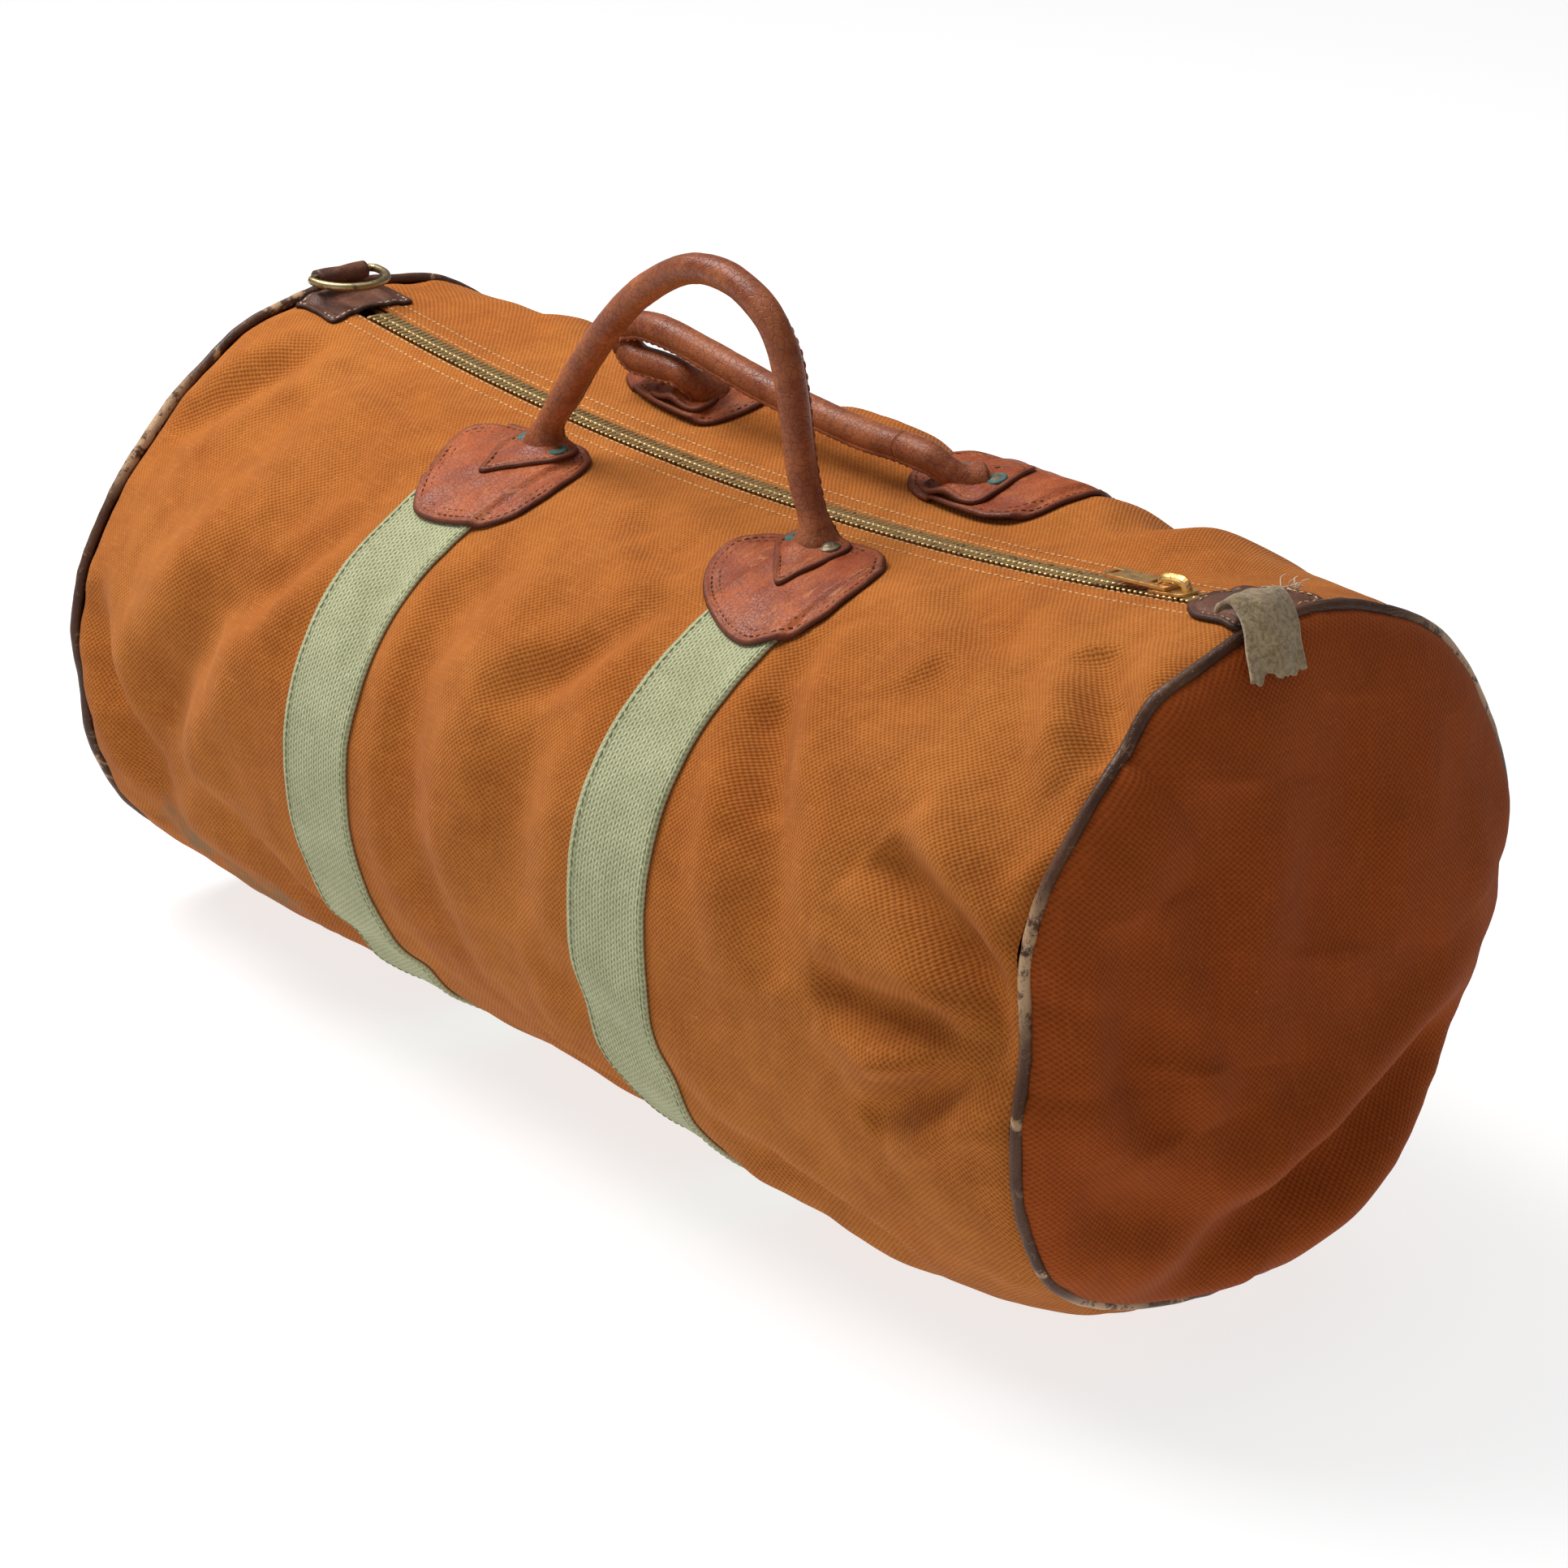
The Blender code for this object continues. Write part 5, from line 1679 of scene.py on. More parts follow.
@dataclass
class HandleBases:
    """The leather patches, the tongues of the handles riveted on them, and their rivets."""

    skin: Skin
    finishes: Finishes
    base_x: dict[Side, float] = field(default_factory=lambda: {Side.LEFT: -0.101, Side.RIGHT: 0.094})
    rivet_apart: float = 0.0115
    rivet_s: dict[Face, float] = field(default_factory=lambda: {Face.FRONT: 0.041, Face.BACK: 0.053})
    patch_top: float = 0.0046
    patch_base: float = 0.0026
    tongue_top: float = 0.0064
    patch_rows: tuple[float, ...] = (0.0042, 0.0078)
    tongue_rows: tuple[float, ...] = (0.0030,)

    def build(self) -> None:
        """Builds the four bases."""
        thread_rows = []
        for face in Face:
            for side in Side:
                pad = self.patch(face, side)
                thread_rows += pad.sew(self.patch_rows)
                tongue = self.tongue(face, side)
                thread_rows += tongue.sew(self.tongue_rows)
                self.rivets(face, side)
        bm = stitches(self.skin, thread_rows, PATCH_STITCH, seed=8)
        settle(to_object(bm, "patch_stitches", self.finishes.dark_thread), "bag", "patch_leather")

    def patch(self, face: Face, side: Side) -> LeatherPad:
        """Builds a shield-shaped patch over the end of a strap.

        Args:
            face: The long side that it is on.
            side: The end that it is nearer to.

        Returns:
            The pad, whose stitches are still to be sewn.
        """
        line = through(PATCH_OUTLINES[side], 128, closed=True)
        line[:, 1] *= face.value
        names = (face.word, side.word)
        pad = LeatherPad("patch_%s_%s" % names, line, self.patch_base, self.patch_top, self.finishes.patch,
                         "patch_leather", ("handle_patch_%s_%s" % names,),
                         under=(side.value * self.skin.sewing.strap_x, 0.0250, self.patch_base - 0.0004),
                         seed=11 + side.value + 4 * face.value)
        pad.build(self.skin)
        return pad

    def tongue(self, face: Face, side: Side) -> LeatherPad:
        """Builds the flattened end of a handle's leather, pointed towards the middle of the patch.

        Args:
            face: The long side that it is on.
            side: The end that it is nearer to.

        Returns:
            The pad, whose stitches are still to be sewn.
        """
        middle = side.value * self.skin.sewing.strap_x
        base = self.base_x[side]
        half = [(0.000, 0.0315), (0.0150, 0.0325), (0.0195, 0.0375), (0.0188, 0.0465), (0.0150, 0.0535),
                (0.0085, 0.0625), (0.000, 0.0715)]
        ring = half + [(-x, s) for x, s in reversed(half[1:-1])]
        toward = (middle - base) * 0.9
        leaning = [(base + x + toward * max(0.0, (s - 0.045) / 0.026), s) for x, s in ring]
        line = through(leaning, 96, closed=True)
        line[:, 1] *= face.value
        names = (face.word, side.word)
        pad = LeatherPad("tongue_%s_%s" % names, line, self.patch_top - 0.0004, self.tongue_top,
                         self.finishes.patch, "handle_leather", ("handle_chape_%s_%s" % names,),
                         rim=0.0010, mound=(base, face.value * 0.040, 0.0078, 0.0120, 0.0042),
                         seed=23 + side.value)
        pad.build(self.skin)
        return pad

    def rivets(self, face: Face, side: Side) -> None:
        """Builds two rivets, one on each side of the handle.

        Args:
            face: The long side that they are on.
            side: The end that they are nearer to.
        """
        for end, aside in (("a", -self.rivet_apart), ("b", self.rivet_apart)):
            domed = face is Face.FRONT and side is Side.RIGHT and end == "b"
            height = 0.0026 if domed else 0.0013
            profile = [(0.0, height), (0.0012, height * 0.97), (0.0022, height * 0.86),
                       (0.0029, height * 0.70), (0.0035, 0.0010), (0.0041, 0.0010), (0.0046, 0.0007),
                       (0.0048, 0.0001), (0.0046, -0.0008)]
            bm = turned(profile, 28)
            rim = bm.verts.layers.float.new("edge")
            for vert in bm.verts:
                far = math.hypot(vert.co.x, vert.co.y)
                vert[rim] = 0.25 if domed else min(1.0, max(0.0, far / 0.0046))
            place = self.skin.stand(self.base_x[side] + aside, face.value * self.rivet_s[face],
                                    self.tongue_top - 0.0002)
            bmesh.ops.transform(bm, matrix=place, verts=bm.verts)
            name = f"{face.word}_{side.word}_{end}"
            obj = to_object(bm, f"rivet_head_{name}", self.finishes.rivet)
            settle(obj, "bag", "rivet", f"rivet_{name}")


@dataclass
class Reach:
    """A stretch of a handle that bends from the bag to the handle's own body between two points."""

    first: float
    last: float
    start: tuple[float, float, float] | None = None
    end: tuple[float, float, float] | None = None


@dataclass
class RolledHandle:
    """A rolled leather handle whose two ends widen into their tongues, with a stitched seam along it."""

    finishes: Finishes
    name: str
    route: tuple[tuple[float, float, float], ...]
    reaches: tuple[Reach, ...]
    seam: tuple[float, float, float]
    centre_x: float = 0.010
    radius: float = 0.0068
    rings: int = 190
    sides: int = 28
    welt_radius: float = 0.0013
    first_stitch: float = 0.003
    stitch_every: float = 0.0042
    stitch_size: tuple[float, float, float] = (0.0016, 0.0005, 0.0005)

    def build(self) -> None:
        """Builds each stretch of the roll, then its seam."""
        path = through(self.route, self.rings) - np.array((self.centre_x, 0, 0))
        far = distances(path)
        from_end = np.minimum(far, far[-1] - far)
        foot = np.exp(-(((from_end - 0.016) / 0.011) ** 2))
        grow = 1 + 0.55 * np.exp(-((from_end / 0.007) ** 2)) - 0.12 * foot
        creases = 0.022 * np.sin(from_end * math.tau / 0.0043) * foot
        rough = 0.018 * ripples(path, 0.030, 51) + 0.006 * ripples(path, 0.008, 52)
        radii = self.radius * (grow + creases + rough)
        for number, reach in enumerate(self.reaches):
            low, high = (round(share * (self.rings - 1)) for share in (reach.first, reach.last))
            part = slice(low, high + 1)
            bm = sweep(path[part], list(radii[part]), self.sides)
            obj = to_object(bm, f"{self.name}_roll_{number}", self.finishes.handle)
            self.place(obj, reach, number == 0)
            self.sew(path[part], radii[part], reach, number)

    def sew(self, path: np.ndarray, radii: np.ndarray, reach: Reach, number: int) -> None:
        """Lays a row of stitches and a welt along one stretch.

        Args:
            path: The middle line of the stretch.
            radii: The roll's radius at each point.
            reach: How the stretch bends.
            number: Its number, which names the pieces.
        """
        towards = Vector(self.seam).normalized()
        ahead = np.gradient(path, axis=0)
        line, spots, far, due = [], [], 0.0, self.first_stitch
        for k, (place, radius) in enumerate(zip(path, radii)):
            heading = Vector(ahead[k]).normalized()
            side = (towards - heading * towards.dot(heading)).normalized()
            line.append(Vector(place) + side * radius * 0.96)
            if k:
                far += (line[-1] - line[-2]).length
            if far < due:
                continue
            due = far + self.stitch_every
            aside = heading.cross(side)
            place = axes(heading, side, aside, Vector(place) + side * (radius + 0.0008) + aside * 0.0007)
            spots.append(place @ Matrix.Diagonal((*self.stitch_size, 1)))
        if len(spots) < 3:
            return
        tube = sweep(np.array(line), [self.welt_radius] * len(line), 8)
        welt = to_object(tube, f"{self.name}_welt_{number}", self.finishes.handle)
        self.place(welt, reach, False)
        thread = to_object(beads(spots), f"{self.name}_stitches_{number}", self.finishes.handle_thread)
        self.place(thread, reach, False)

    def place(self, obj: Object, reach: Reach, stands_for: bool) -> None:
        """Lets a piece bend between the bag and the handle's own body, or ride on the latter.

        Args:
            obj: The piece.
            reach: How its stretch bends.
            stands_for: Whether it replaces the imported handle.
        """
        body = f"{self.name}_roll"
        if reach.start:
            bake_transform(obj, "bag", body, start=reach.start, end=reach.end)
        else:
            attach(obj, body)
        if stands_for:
            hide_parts(self.name)
        LOG.info("%s: %d faces, moves with %s", obj.name, len(obj.data.polygons), body)


FRONT_ROUTE = (
    (-0.1015, -0.0402, 0.2780), (-0.1010, -0.0401, 0.2825), (-0.0995, -0.0400, 0.2870),
    (-0.0960, -0.0400, 0.2930), (-0.0860, -0.0400, 0.3050),
    (-0.0710, -0.0400, 0.3245), (-0.0500, -0.0400, 0.3480), (-0.0260, -0.0400, 0.3685),
    (0.0050, -0.0400, 0.3850), (0.0330, -0.0400, 0.3880), (0.0570, -0.0400, 0.3800),
    (0.0705, -0.0400, 0.3660), (0.0770, -0.0400, 0.3480), (0.0805, -0.0400, 0.3300),
    (0.0840, -0.0400, 0.3140), (0.0895, -0.0400, 0.3000), (0.0925, -0.0400, 0.2930),
    (0.0935, -0.0400, 0.2875), (0.0940, -0.0400, 0.2840),
)
BACK_ROUTE = (
    (-0.0930, 0.0470, 0.2885), (-0.0920, 0.0400, 0.2940), (-0.0960, 0.0350, 0.2985),
    (-0.1020, 0.0345, 0.2995), (-0.1160, 0.0345, 0.2990),
    (-0.1310, 0.0345, 0.2990), (-0.1395, 0.0348, 0.3050), (-0.1350, 0.0350, 0.3125),
    (-0.1200, 0.0350, 0.3160), (-0.0980, 0.0350, 0.3155), (-0.0680, 0.0350, 0.3120),
    (-0.0350, 0.0350, 0.3080), (0.0000, 0.0350, 0.3050), (0.0360, 0.0350, 0.3035),
    (0.0620, 0.0350, 0.3045), (0.0765, 0.0345, 0.3045), (0.0830, 0.0355, 0.3030),
    (0.0890, 0.0385, 0.2990), (0.0930, 0.0430, 0.2950), (0.0945, 0.0480, 0.2930),
)
FRONT_REACHES = (Reach(0.0, 1.0, (0.0, -0.040, 0.290), (0.0, -0.040, 0.324)),)
BACK_REACHES = (
    Reach(0.0, 0.19, (-0.1080, 0.0345, 0.2990), (-0.1380, 0.0345, 0.2990)),
    Reach(0.19, 0.86),
    Reach(0.86, 1.0, (0.0850, 0.0345, 0.3040), (0.0600, 0.0345, 0.3040)),
)


@dataclass
class Zip:
    """The zip's tapes, its chain of brass teeth, the rows of stitches beside it, its slider and its pull."""

    skin: Skin
    finishes: Finishes
    left: float = -0.292
    right: float = 0.289
    pitch: float = 0.0034
    tooth_arm: tuple[float, float, float] = (0.0021, 0.0056, 0.0030)
    tooth_head: tuple[float, float, float] = (0.0022, 0.0024, 0.0021)
    tape_inner: float = 0.0046
    tape_width: float = 0.0120
    seam_rows: tuple[float, float] = (0.0092, 0.0176)
    seam_ends: tuple[float, float] = (-0.318, 0.322)
    slider_x: float = 0.272
    plate: tuple[float, float, float] = (0.0216, 0.0116, 0.0015)
    plate_heights: tuple[float, float] = (0.0012, -0.0068)
    flange: tuple[float, float, float] = (0.0150, 0.0012, 0.0020)
    post: tuple[float, float, float] = (0.0030, 0.0014, 0.0066)
    pull_lift: float = 0.0030
    pull_tilt: float = 3.0
    pull_end: float = -0.0375
    pull_length: float = 0.0383
    pull_width: float = 0.0110
    pull_thickness: float = 0.0016
    pull_corner: float = 0.0020
    pull_corner_at: tuple[float, float] = (-0.0355, 0.0035)
    pull_holes: tuple[tuple[float, float, float], ...] = (
        (-0.0352, -0.0320, 0.0030), (-0.0112, -0.0012, 0.0034))

    def along(self, x: float, lift: float = 0.0) -> Matrix:
        """A frame on the zip line: X along the line, Z up off it.

        Args:
            x: Place along the bag.
            lift: Height off the line.

        Returns:
            The frame.
        """
        shape = self.skin.shape
        tilt = -math.asin((x - shape.zip_centre_x) / shape.zip_radius)
        place = Matrix.Translation((x - shape.centre_x, 0, shape.zip_height(x)))
        return place @ Matrix.Rotation(tilt, 4, "Y") @ Matrix.Translation((0, 0, lift))

    def build(self) -> None:
        """Builds every piece of the zip."""
        for face in Face:
            self.tape(face)
            self.teeth(face)
        self.seams()
        self.slider()
        self.pull()

    def tape(self, face: Face) -> None:
        """Builds a ribbed tape with the cord that the teeth bite on.

        Args:
            face: The side of the zip.
        """
        bm = bmesh.new()
        bmesh.ops.create_grid(bm, x_segments=300, y_segments=14, size=0.5)
        flat = coordinates(bm)
        x = flat[:, 0] * 2 * (self.skin.shape.half_length - 0.006)
        s = self.tape_inner + (flat[:, 1] + 0.5) * self.tape_width
        d = -0.0040 + 0.0020 * np.exp(-(((s - 0.0062) / 0.0010) ** 2)) + 0.0012 * smooth_step(s, 0.0066, 0.0085)
        move_all(bm, np.stack([x, s * face.value, d], 1))
        keep_cloth_uv(bm)
        wrap(bm, self.skin)
        if face is Face.BACK:
            bmesh.ops.reverse_faces(bm, faces=bm.faces)
        obj = to_object(bm, f"tape_{face.word}", self.finishes.tape)
        settle(obj, "bag", "zip_tape", f"zipper_tape_{face.word}")

    def teeth(self, face: Face) -> None:
        """Builds one row of teeth, half a pitch out of step with the other row.

        Args:
            face: The side of the zip.
        """
        bm = bmesh.new()
        sign = face.value
        first = self.left + (0.0 if face is Face.FRONT else self.pitch / 2)
        for x in np.arange(first, self.right, self.pitch):
            place = self.along(float(x))
            arm_place = place @ Matrix.Translation((0, -sign * 0.00335, -0.0010))
            head_place = place @ Matrix.Translation((0, -sign * 0.00030, -0.0005))
            add_to(bm, block(self.tooth_arm, arm_place, 0.0004, 1))
            add_to(bm, block(self.tooth_head, head_place, 0.0005, 1))
        obj = to_object(bm, f"teeth_{face.word}", self.finishes.zip_brass, smooth=False)
        settle(obj, "bag", "brass", f"zipper_teeth_{face.word}")

    def seams(self) -> None:
        """Two rows of tan stitches along each side of the zip."""
        rows = []
        x = np.linspace(*self.seam_ends, 400)
        for face in Face:
            for row in self.seam_rows:
                s = face.value * row
                wander = 0.0003 * np.sin(x * 40.0 + s * 900)
                rows.append(np.stack([x, s + wander, np.full(len(x), 0.0002)], 1))
        bm = stitches(self.skin, rows, ZIP_STITCH, seed=3)
        settle(to_object(bm, "zip_stitches", self.finishes.thread), "bag", "canvas")

    def slider(self) -> None:
        """Two rounded plates, the flanges between them and the bridge over the top."""
        place = self.along(self.slider_x)
        bm = bmesh.new()
        for height in self.plate_heights:
            plate = bmesh.new()
            shape = Matrix.Translation((0, 0, height)) @ Matrix.Diagonal((*self.plate, 1))
            bmesh.ops.create_cube(plate, size=1.0, matrix=shape)
            upright = [e for e in plate.edges if abs((e.verts[0].co - e.verts[1].co).z) > 0.001]
            soften(plate, upright, 0.0030, 4)
            rims = [e for e in plate.edges if abs(e.verts[0].co.z - e.verts[1].co.z) < 1e-5]
            soften(plate, rims, 0.0004, 2)
            bmesh.ops.transform(plate, matrix=place, verts=plate.verts)
            add_to(bm, plate)
        for aside in (-1, 1):
            flange_place = place @ Matrix.Translation((-0.0020, aside * 0.0053, -0.0008))
            add_to(bm, block(self.flange, flange_place, 0.0004))
        add_to(bm, block(self.post, place @ Matrix.Translation((0.0078, 0, -0.0033)), 0.0003))
        arch = [(-0.0082, 0, 0.0010), (-0.0079, 0, 0.0042), (-0.0055, 0, 0.0060), (0.0, 0, 0.0064),
                (0.0055, 0, 0.0060), (0.0079, 0, 0.0042), (0.0082, 0, 0.0010)]
        path = np.array([place @ Vector(p) for p in through(arch, 22)])
        add_to(bm, sweep(path, [0.0022] * len(path), 12, flat=[0.42] * len(path)))
        obj = to_object(bm, "slider_body", self.finishes.gilt, smooth=False)
        settle(obj, "slider", "gilt", "zipper_slider")

    def pull(self) -> None:
        """A flat plate with rounded corners, a slot at its free end and an eye round the bridge."""
        tilt = Matrix.Rotation(math.radians(self.pull_tilt), 4, "Y")
        place = self.along(self.slider_x, self.pull_lift) @ tilt
        corner_x, corner_y = self.pull_corner_at
        bm = bmesh.new()
        bmesh.ops.create_grid(bm, x_segments=24, y_segments=8, size=0.5)
        for vert in bm.verts:
            x = self.pull_end + (vert.co.x + 0.5) * self.pull_length
            y = vert.co.y * self.pull_width
            past_y = max(0.0, abs(y) - corner_y)
            past_x = max(0.0, corner_x - x)
            if past_y > 0 and past_x > 0:
                scale = min(1.0, self.pull_corner / max(math.hypot(past_y, past_x), 1e-6))
                y = math.copysign(corner_y + past_y * scale, y)
                x = corner_x - past_x * scale
            vert.co = (x, y, 0.0)
        holes = []
        for low, high, half in self.pull_holes:
            for face in bm.faces:
                middle = face.calc_center_median()
                if low < middle.x < high and abs(middle.y) < half:
                    holes.append(face)
        bmesh.ops.delete(bm, geom=holes, context="FACES")
        bmesh.ops.transform(bm, matrix=place @ Matrix.Translation((0, 0, 0.0008)), verts=bm.verts)
        obj = to_object(bm, "pull_plate", self.finishes.gilt, smooth=False)
        thicken(obj, self.pull_thickness)
        soft = obj.modifiers.new("soft", "BEVEL")
        soft.width = 0.0003
        soft.segments = 2
        settle(obj, "pull", "gilt", "zipper_pull")


@dataclass
class EndFittings:
    """The leather patch, roll and ring at the left end; the tab, suede loop and loose threads at the right."""

    skin: Skin
    finishes: Finishes
    ring_x: float = -0.3255
    lift: float = 0.0097
    ring_wire: float = 0.0020
    ring_half: float = 0.0185
    ring_depth: float = 0.0265
    ring_corner: float = 0.0040
    roll_half: float = 0.0140
    roll_radius: float = 0.0047
    roll_tightens: float = 0.0022
    roll_turns: float = 1.30
    suede_steps: int = 59
    tuft_places: tuple[tuple[float, float], ...] = ((0.3080, -0.0245), (0.3120, -0.0250), (0.3180, -0.0240))
    tuft_threads: int = 5

    def build(self) -> None:
        """Builds every fitting."""
        self.left_patch()
        self.right_tab()
        self.roll()
        self.ring()
        self.suede()
        self.scrap()
        self.tufts()

    def ring_axis(self) -> Vector:
        """The middle of the ring's bar."""
        shape = self.skin.shape
        return Vector((self.ring_x - shape.centre_x, 0, shape.zip_height(self.ring_x) + self.lift))

    def left_patch(self) -> None:
        """The patch under the ring, its edge pale with stitches."""
        ring = [(-0.3335, 0.0225), (-0.3240, 0.0232), (-0.3120, 0.0236), (-0.3000, 0.0246), (-0.2972, 0.0220),
                (-0.2985, 0.0100), (-0.3000, 0.0), (-0.2985, -0.0100), (-0.2972, -0.0210), (-0.3000, -0.0236),
                (-0.3120, -0.0230), (-0.3240, -0.0228), (-0.3335, -0.0225), (-0.3345, 0.0)]
        pad = LeatherPad("ring_patch", through(ring, 96, closed=True), 0.0002, 0.0020, self.finishes.dark,
                         "dark_leather", ("zip_patch_left",), rim=0.0010, seed=5)
        pad.build(self.skin)
        bm = stitches(self.skin, pad.sew((0.0026,)), TAB_STITCH, seed=12)
        settle(to_object(bm, "ring_patch_stitches", self.finishes.white_thread), "bag", "dark_leather")

    def right_tab(self) -> None:
        """The round-ended tab that closes the zip."""
        ring = [(0.3340, -0.0230), (0.3340, 0.0), (0.3340, 0.0230), (0.3220, 0.0235)]
        for k in range(9):
            angle = math.pi * k / 8
            ring.append((0.3130 - 0.0215 * math.sin(angle), 0.0235 * math.cos(angle)))
        ring.append((0.3220, -0.0235))
        pad = LeatherPad("zip_tab", through(ring, 96, closed=True), 0.0003, 0.0026, self.finishes.dark,
                         "dark_leather", ("zip_tab_right",), rim=0.0011, seed=6)
        pad.build(self.skin)
        bm = stitches(self.skin, pad.sew((0.0028,)), TAB_STITCH, seed=13)
        settle(to_object(bm, "zip_tab_stitches", self.finishes.thread), "bag", "dark_leather")

    def roll(self) -> None:
        """Leather rolled round the ring's bar, its end showing the turns."""
        axis = self.ring_axis()
        bm = bmesh.new()
        outline = []
        for k in range(24):
            angle = -math.pi / 2 - math.tau * self.roll_turns * k / 23
            radius = self.roll_radius - self.roll_tightens * k / 23
            outline.append((radius * math.cos(angle), radius * math.sin(angle), 0))
        line = through(outline, 44)
        verts = [bm.verts.new((axis.x + x, -self.roll_half, axis.z - 0.0010 + z)) for x, z, _ in line]
        edges = [bm.edges.new(pair) for pair in zip(verts, verts[1:])]
        made = bmesh.ops.extrude_edge_only(bm, edges=edges)["geom"]
        moved = [item for item in made if isinstance(item, BMVert)]
        bmesh.ops.translate(bm, vec=(0, 2 * self.roll_half, 0), verts=moved)
        across = [e for e in bm.edges if abs((e.verts[0].co - e.verts[1].co).y) > self.roll_half]
        bmesh.ops.subdivide_edges(bm, edges=across, cuts=12, use_grid_fill=True)
        bmesh.ops.recalc_face_normals(bm, faces=bm.faces)
        for vert in bm.verts:
            near = 1 - abs(vert.co.y) / self.roll_half
            vert.co.z += 0.0004 * math.sin(vert.co.x * 900 + vert.co.y * 260) * near
        obj = to_object(bm, "ring_roll", self.finishes.dark)
        thicken(obj, 0.0018, 0.0)
        settle(obj, "bag", "dark_leather", "d_ring_loop")

    def ring(self) -> None:
        """A brass wire bent to a D that lies towards the zip."""
        half, depth, corner = self.ring_half, self.ring_depth, self.ring_corner
        bar = half - corner
        line = [(0, -bar / 2), (0, 0), (0, bar / 2)]
        turns = (0, math.pi / 6, math.pi / 3)
        bends = [(corner * (1 - math.cos(a)), bar + corner * math.sin(a)) for a in turns]
        line += bends
        for k in range(0, 15):
            angle = math.pi * k / 14
            line.append((corner + (depth - corner) * math.sin(angle) ** 0.9, half * math.cos(angle)))
        line += [(x, -y) for x, y in reversed(bends)]
        axis = self.ring_axis()
        path = through([(axis.x + x, y, axis.z) for x, y in line], 120, closed=True)
        bm = sweep(path, [self.ring_wire] * len(path), 16, closed=True)
        settle(to_object(bm, "ring_wire", self.finishes.ring_brass), "shoulder_ring", "brass", "d_ring")

    def suede(self) -> None:
        """A torn suede loop that curls off the tab, over the piping and down the end."""
        shape = self.skin.shape
        top = shape.zip_height(shape.half_length)
        route = [(0.3265, top + 0.0030), (0.3285, top + 0.0068), (0.3320, top + 0.0094), (0.3370, top + 0.0100),
                 (0.3430, top + 0.0072), (0.3480, top + 0.0018), (0.3515, top - 0.0055), (0.3542, top - 0.0125),
                 (0.3565, top - 0.0175)]
        steps = self.suede_steps
        line = through(route, steps + 1)
        bm = bmesh.new()
        bmesh.ops.create_grid(bm, x_segments=steps, y_segments=34, size=0.5)
        flat = coordinates(bm)
        at = np.clip(np.round((flat[:, 0] + 0.5) * steps).astype(int), 0, steps)
        across = flat[:, 1]
        edge = np.stack([across * 0.034, across * 0, across * 0], 1)
        torn = 0.0030 * ripples(edge, 0.010, 71) + 0.0016 * ripples(edge, 0.003, 72)
        shares = np.linspace(0, 1, steps + 1)
        share = shares[at]
        share_torn = np.clip(share * (1 + torn * 9 * share**3 - 0.03), 0, 1)
        x = np.interp(share_torn, shares, line[:, 0])
        z = np.interp(share_torn, shares, line[:, 1])
        y = -0.0160 + across * (0.0260 + 0.003 * share) - 0.006 * share
        curl = 0.0022 * np.cos(across * math.pi) * np.exp(-(((share - 0.45) / 0.3) ** 2))
        z = z + curl + 0.0006 * ripples(np.stack([x, y, z], 1), 0.010, 73)
        x = x + 0.0008 * ripples(np.stack([x, y, z], 1), 0.014, 74) * share
        move_all(bm, np.stack([x - shape.centre_x, y, z], 1))
        bmesh.ops.recalc_face_normals(bm, faces=bm.faces)
        obj = to_object(bm, "suede_strap_end", self.finishes.suede)
        thicken(obj, 0.0017, 0.0)
        settle(obj, "bag", "suede", "suede_loop_right")

    def scrap(self) -> None:
        """A torn scrap of leather that hangs from the piping at the back."""
        line = [(0.3340, -0.300), (0.3364, -0.318), (0.3364, -0.338), (0.3350, -0.352)]
        laid = self.skin.lay(np.array([(x, s, 0.0062 + 0.0006 * k) for k, (x, s) in enumerate(line)]))
        path = through(laid, 26)
        bm = sweep(path, list(0.0044 + 0.0010 * ripples(path, 0.012, 81)), 10, flat=[0.30] * len(path))
        settle(to_object(bm, "piping_scrap", self.finishes.suede), "bag", "piping")

    def tufts(self) -> None:
        """Frayed ends of thread by the tab."""
        rng = np.random.default_rng(17)
        bm = bmesh.new()
        for x, s in self.tuft_places:
            start = self.skin.at(x, s, 0.0024)
            for _ in range(self.tuft_threads):
                lean = Vector(rng.normal(size=3)) * 0.0030
                lean.z = abs(lean.z) * 0.4 + 0.0006
                path = through([start, start + lean, start + lean * 1.5 + Vector((0.001, 0.002, -0.001))], 8)
                add_to(bm, sweep(path, [0.00022] * 8, 5))
        settle(to_object(bm, "loose_threads", self.finishes.white_thread), "bag", "canvas")


# ---------------------------------------------------------------- the studio


@dataclass(frozen=True)
class Lamp:
    """A square soft light that faces the bag, with its side in metres and its power in watts."""

    name: str
    place: tuple[float, float, float]
    size: float
    power: float

    def hang(self, aim: Vector) -> None:
        """Hangs the light so that it faces a point.

        Args:
            aim: The point.
        """
        data = bpy.data.lights.new(self.name, "AREA")
        data.size = self.size
        data.energy = self.power
        obj = bpy.data.objects.new(self.name, data)
        facing = (Vector(self.place) - aim).to_track_quat("Z", "Y").to_matrix().to_4x4()
        obj.matrix_world = Matrix.Translation(self.place) @ facing
        bpy.context.scene.collection.objects.link(obj)


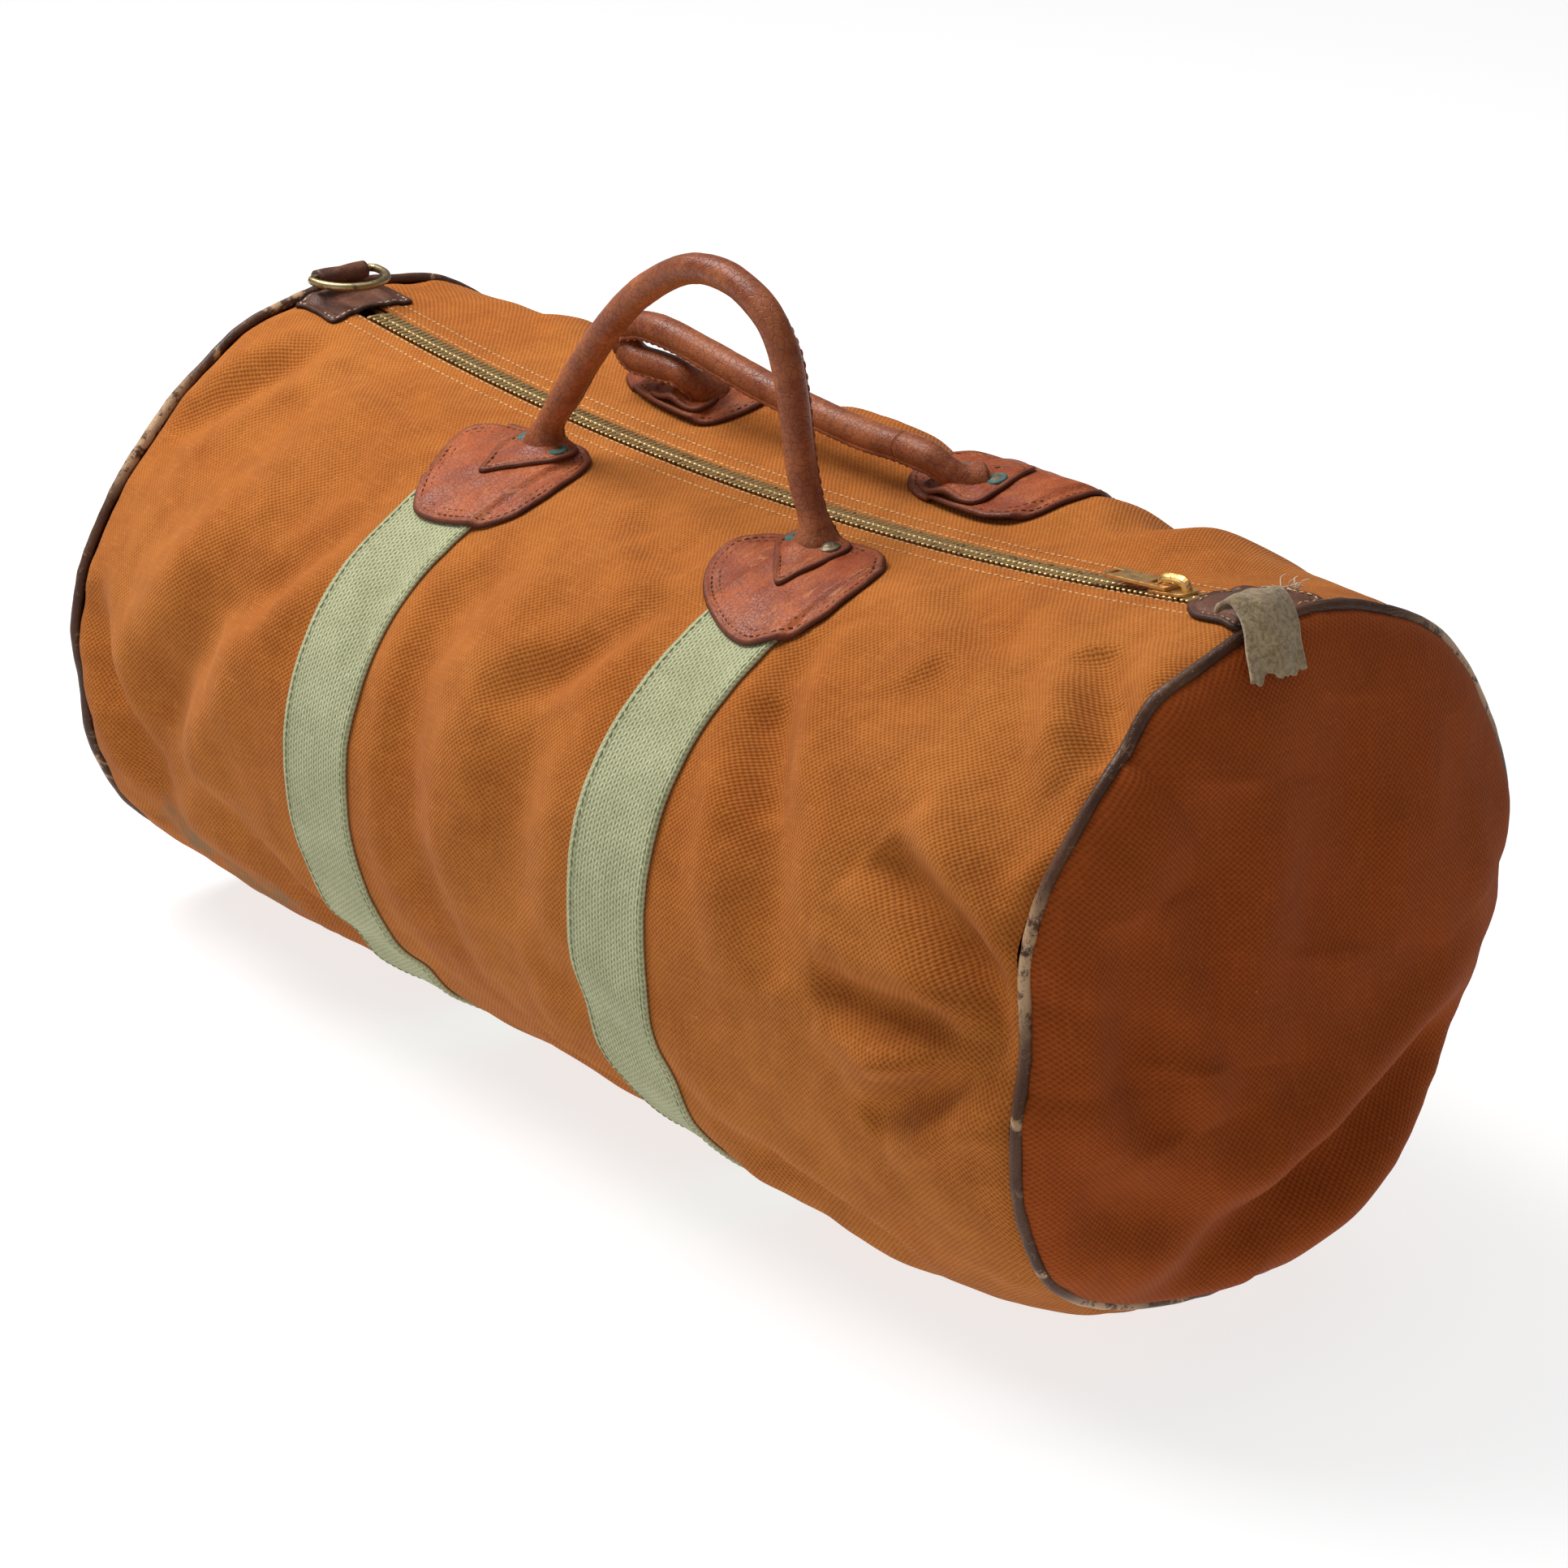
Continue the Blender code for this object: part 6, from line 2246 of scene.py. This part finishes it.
@dataclass(frozen=True)
class Studio:
    """A white floor, soft lights and the camera."""

    azimuth: float = 51.54
    elevation: float = 21.90
    distance: float = 2.2445
    lens: float = 115.0
    target: tuple[float, float, float] = (0.0114, 0.0, 0.1427)
    lamps: tuple[Lamp, ...] = (
        Lamp("key", (-1.15, -0.50, 2.0), 1.3, 62.0),
        Lamp("fill", (0.4, -2.4, 1.0), 1.6, 5.0),
        Lamp("top", (-0.1, 0.5, 2.4), 1.8, 12.0),
    )
    lamp_aim: tuple[float, float, float] = (0.0, 0.0, 0.15)
    sky: float = 0.22
    floor_shade: Colour = (0.32, 0.32, 0.32)
    floor_glow: float = 0.76

    def build(self) -> None:
        """Builds the whole studio."""
        self.floor()
        self.camera()
        for lamp in self.lamps:
            lamp.hang(Vector(self.lamp_aim))
        world = bpy.data.worlds.new("studio")
        world.use_nodes = True
        sky = world.node_tree.nodes["Background"]
        sky.inputs["Color"].default_value = (1.0, 1.0, 1.0, 1.0)
        sky.inputs["Strength"].default_value = self.sky
        bpy.context.scene.world = world
        bpy.context.scene.view_settings.view_transform = "Standard"

    def floor(self) -> None:
        """A wide plain floor."""
        bm = bmesh.new()
        bmesh.ops.create_grid(bm, x_segments=2, y_segments=2, size=12.0)
        finish = Finish("studio floor", Roughness=0.9, Specular_IOR_Level=0.0)
        finish.bench.feed(finish.shader.inputs["Base Color"], self.floor_shade)
        finish.shader.inputs["Emission Color"].default_value = (1.0, 1.0, 1.0, 1.0)
        finish.shader.inputs["Emission Strength"].default_value = self.floor_glow
        to_object(bm, "floor", finish.material)

    def camera(self) -> None:
        """The camera, level and looking slightly down at the bag."""
        az, el = math.radians(self.azimuth), math.radians(self.elevation)
        back = Vector((math.sin(az) * math.cos(el), -math.cos(az) * math.cos(el), math.sin(el)))
        data = bpy.data.cameras.new("camera")
        data.sensor_width = 36.0
        data.lens = self.lens
        data.clip_end = 50.0
        obj = bpy.data.objects.new("camera", data)
        obj.matrix_world = Matrix.Translation(Vector(self.target) + back * self.distance) @ (
            back.to_track_quat("Z", "Y").to_matrix().to_4x4())
        bpy.context.scene.collection.objects.link(obj)
        bpy.context.scene.camera = obj


def dress_packed_nodes(nodes: dict[str, Object], finishes: Finishes) -> None:
    """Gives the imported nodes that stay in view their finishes.

    Args:
        nodes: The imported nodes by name.
        finishes: The bag's finishes.
    """
    for name, material in (("front_handle_core", finishes.rope), ("back_handle_core", finishes.rope),
                           ("zipper_stop_left", finishes.zip_brass), ("zipper_stop_right", finishes.zip_brass)):
        mesh = nodes[name].data
        mesh.materials.clear()
        mesh.materials.append(material)
        LOG.info("%s keeps its packed shape", name)


def main() -> None:
    """Builds the bag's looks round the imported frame, piece by piece."""
    logging.basicConfig(level=logging.INFO, format="%(name)s: %(message)s", force=True)
    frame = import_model()
    finishes = Finishes()
    skin = Skin(BagShape(), BODY_FOLDS, BODY_DENTS)
    Body(skin, finishes).build()
    Straps(skin, finishes).build()
    HandleBases(skin, finishes).build()
    RolledHandle(finishes, "front_handle", FRONT_ROUTE, FRONT_REACHES, (0.30, 0.75, -0.30)).build()
    RolledHandle(finishes, "back_handle", BACK_ROUTE, BACK_REACHES, (0.0, -0.75, -0.80)).build()
    Zip(skin, finishes).build()
    EndFittings(skin, finishes).build()
    dress_packed_nodes(frame["nodes"], finishes)
    Studio().build()


if __name__ == "__main__":
    main()
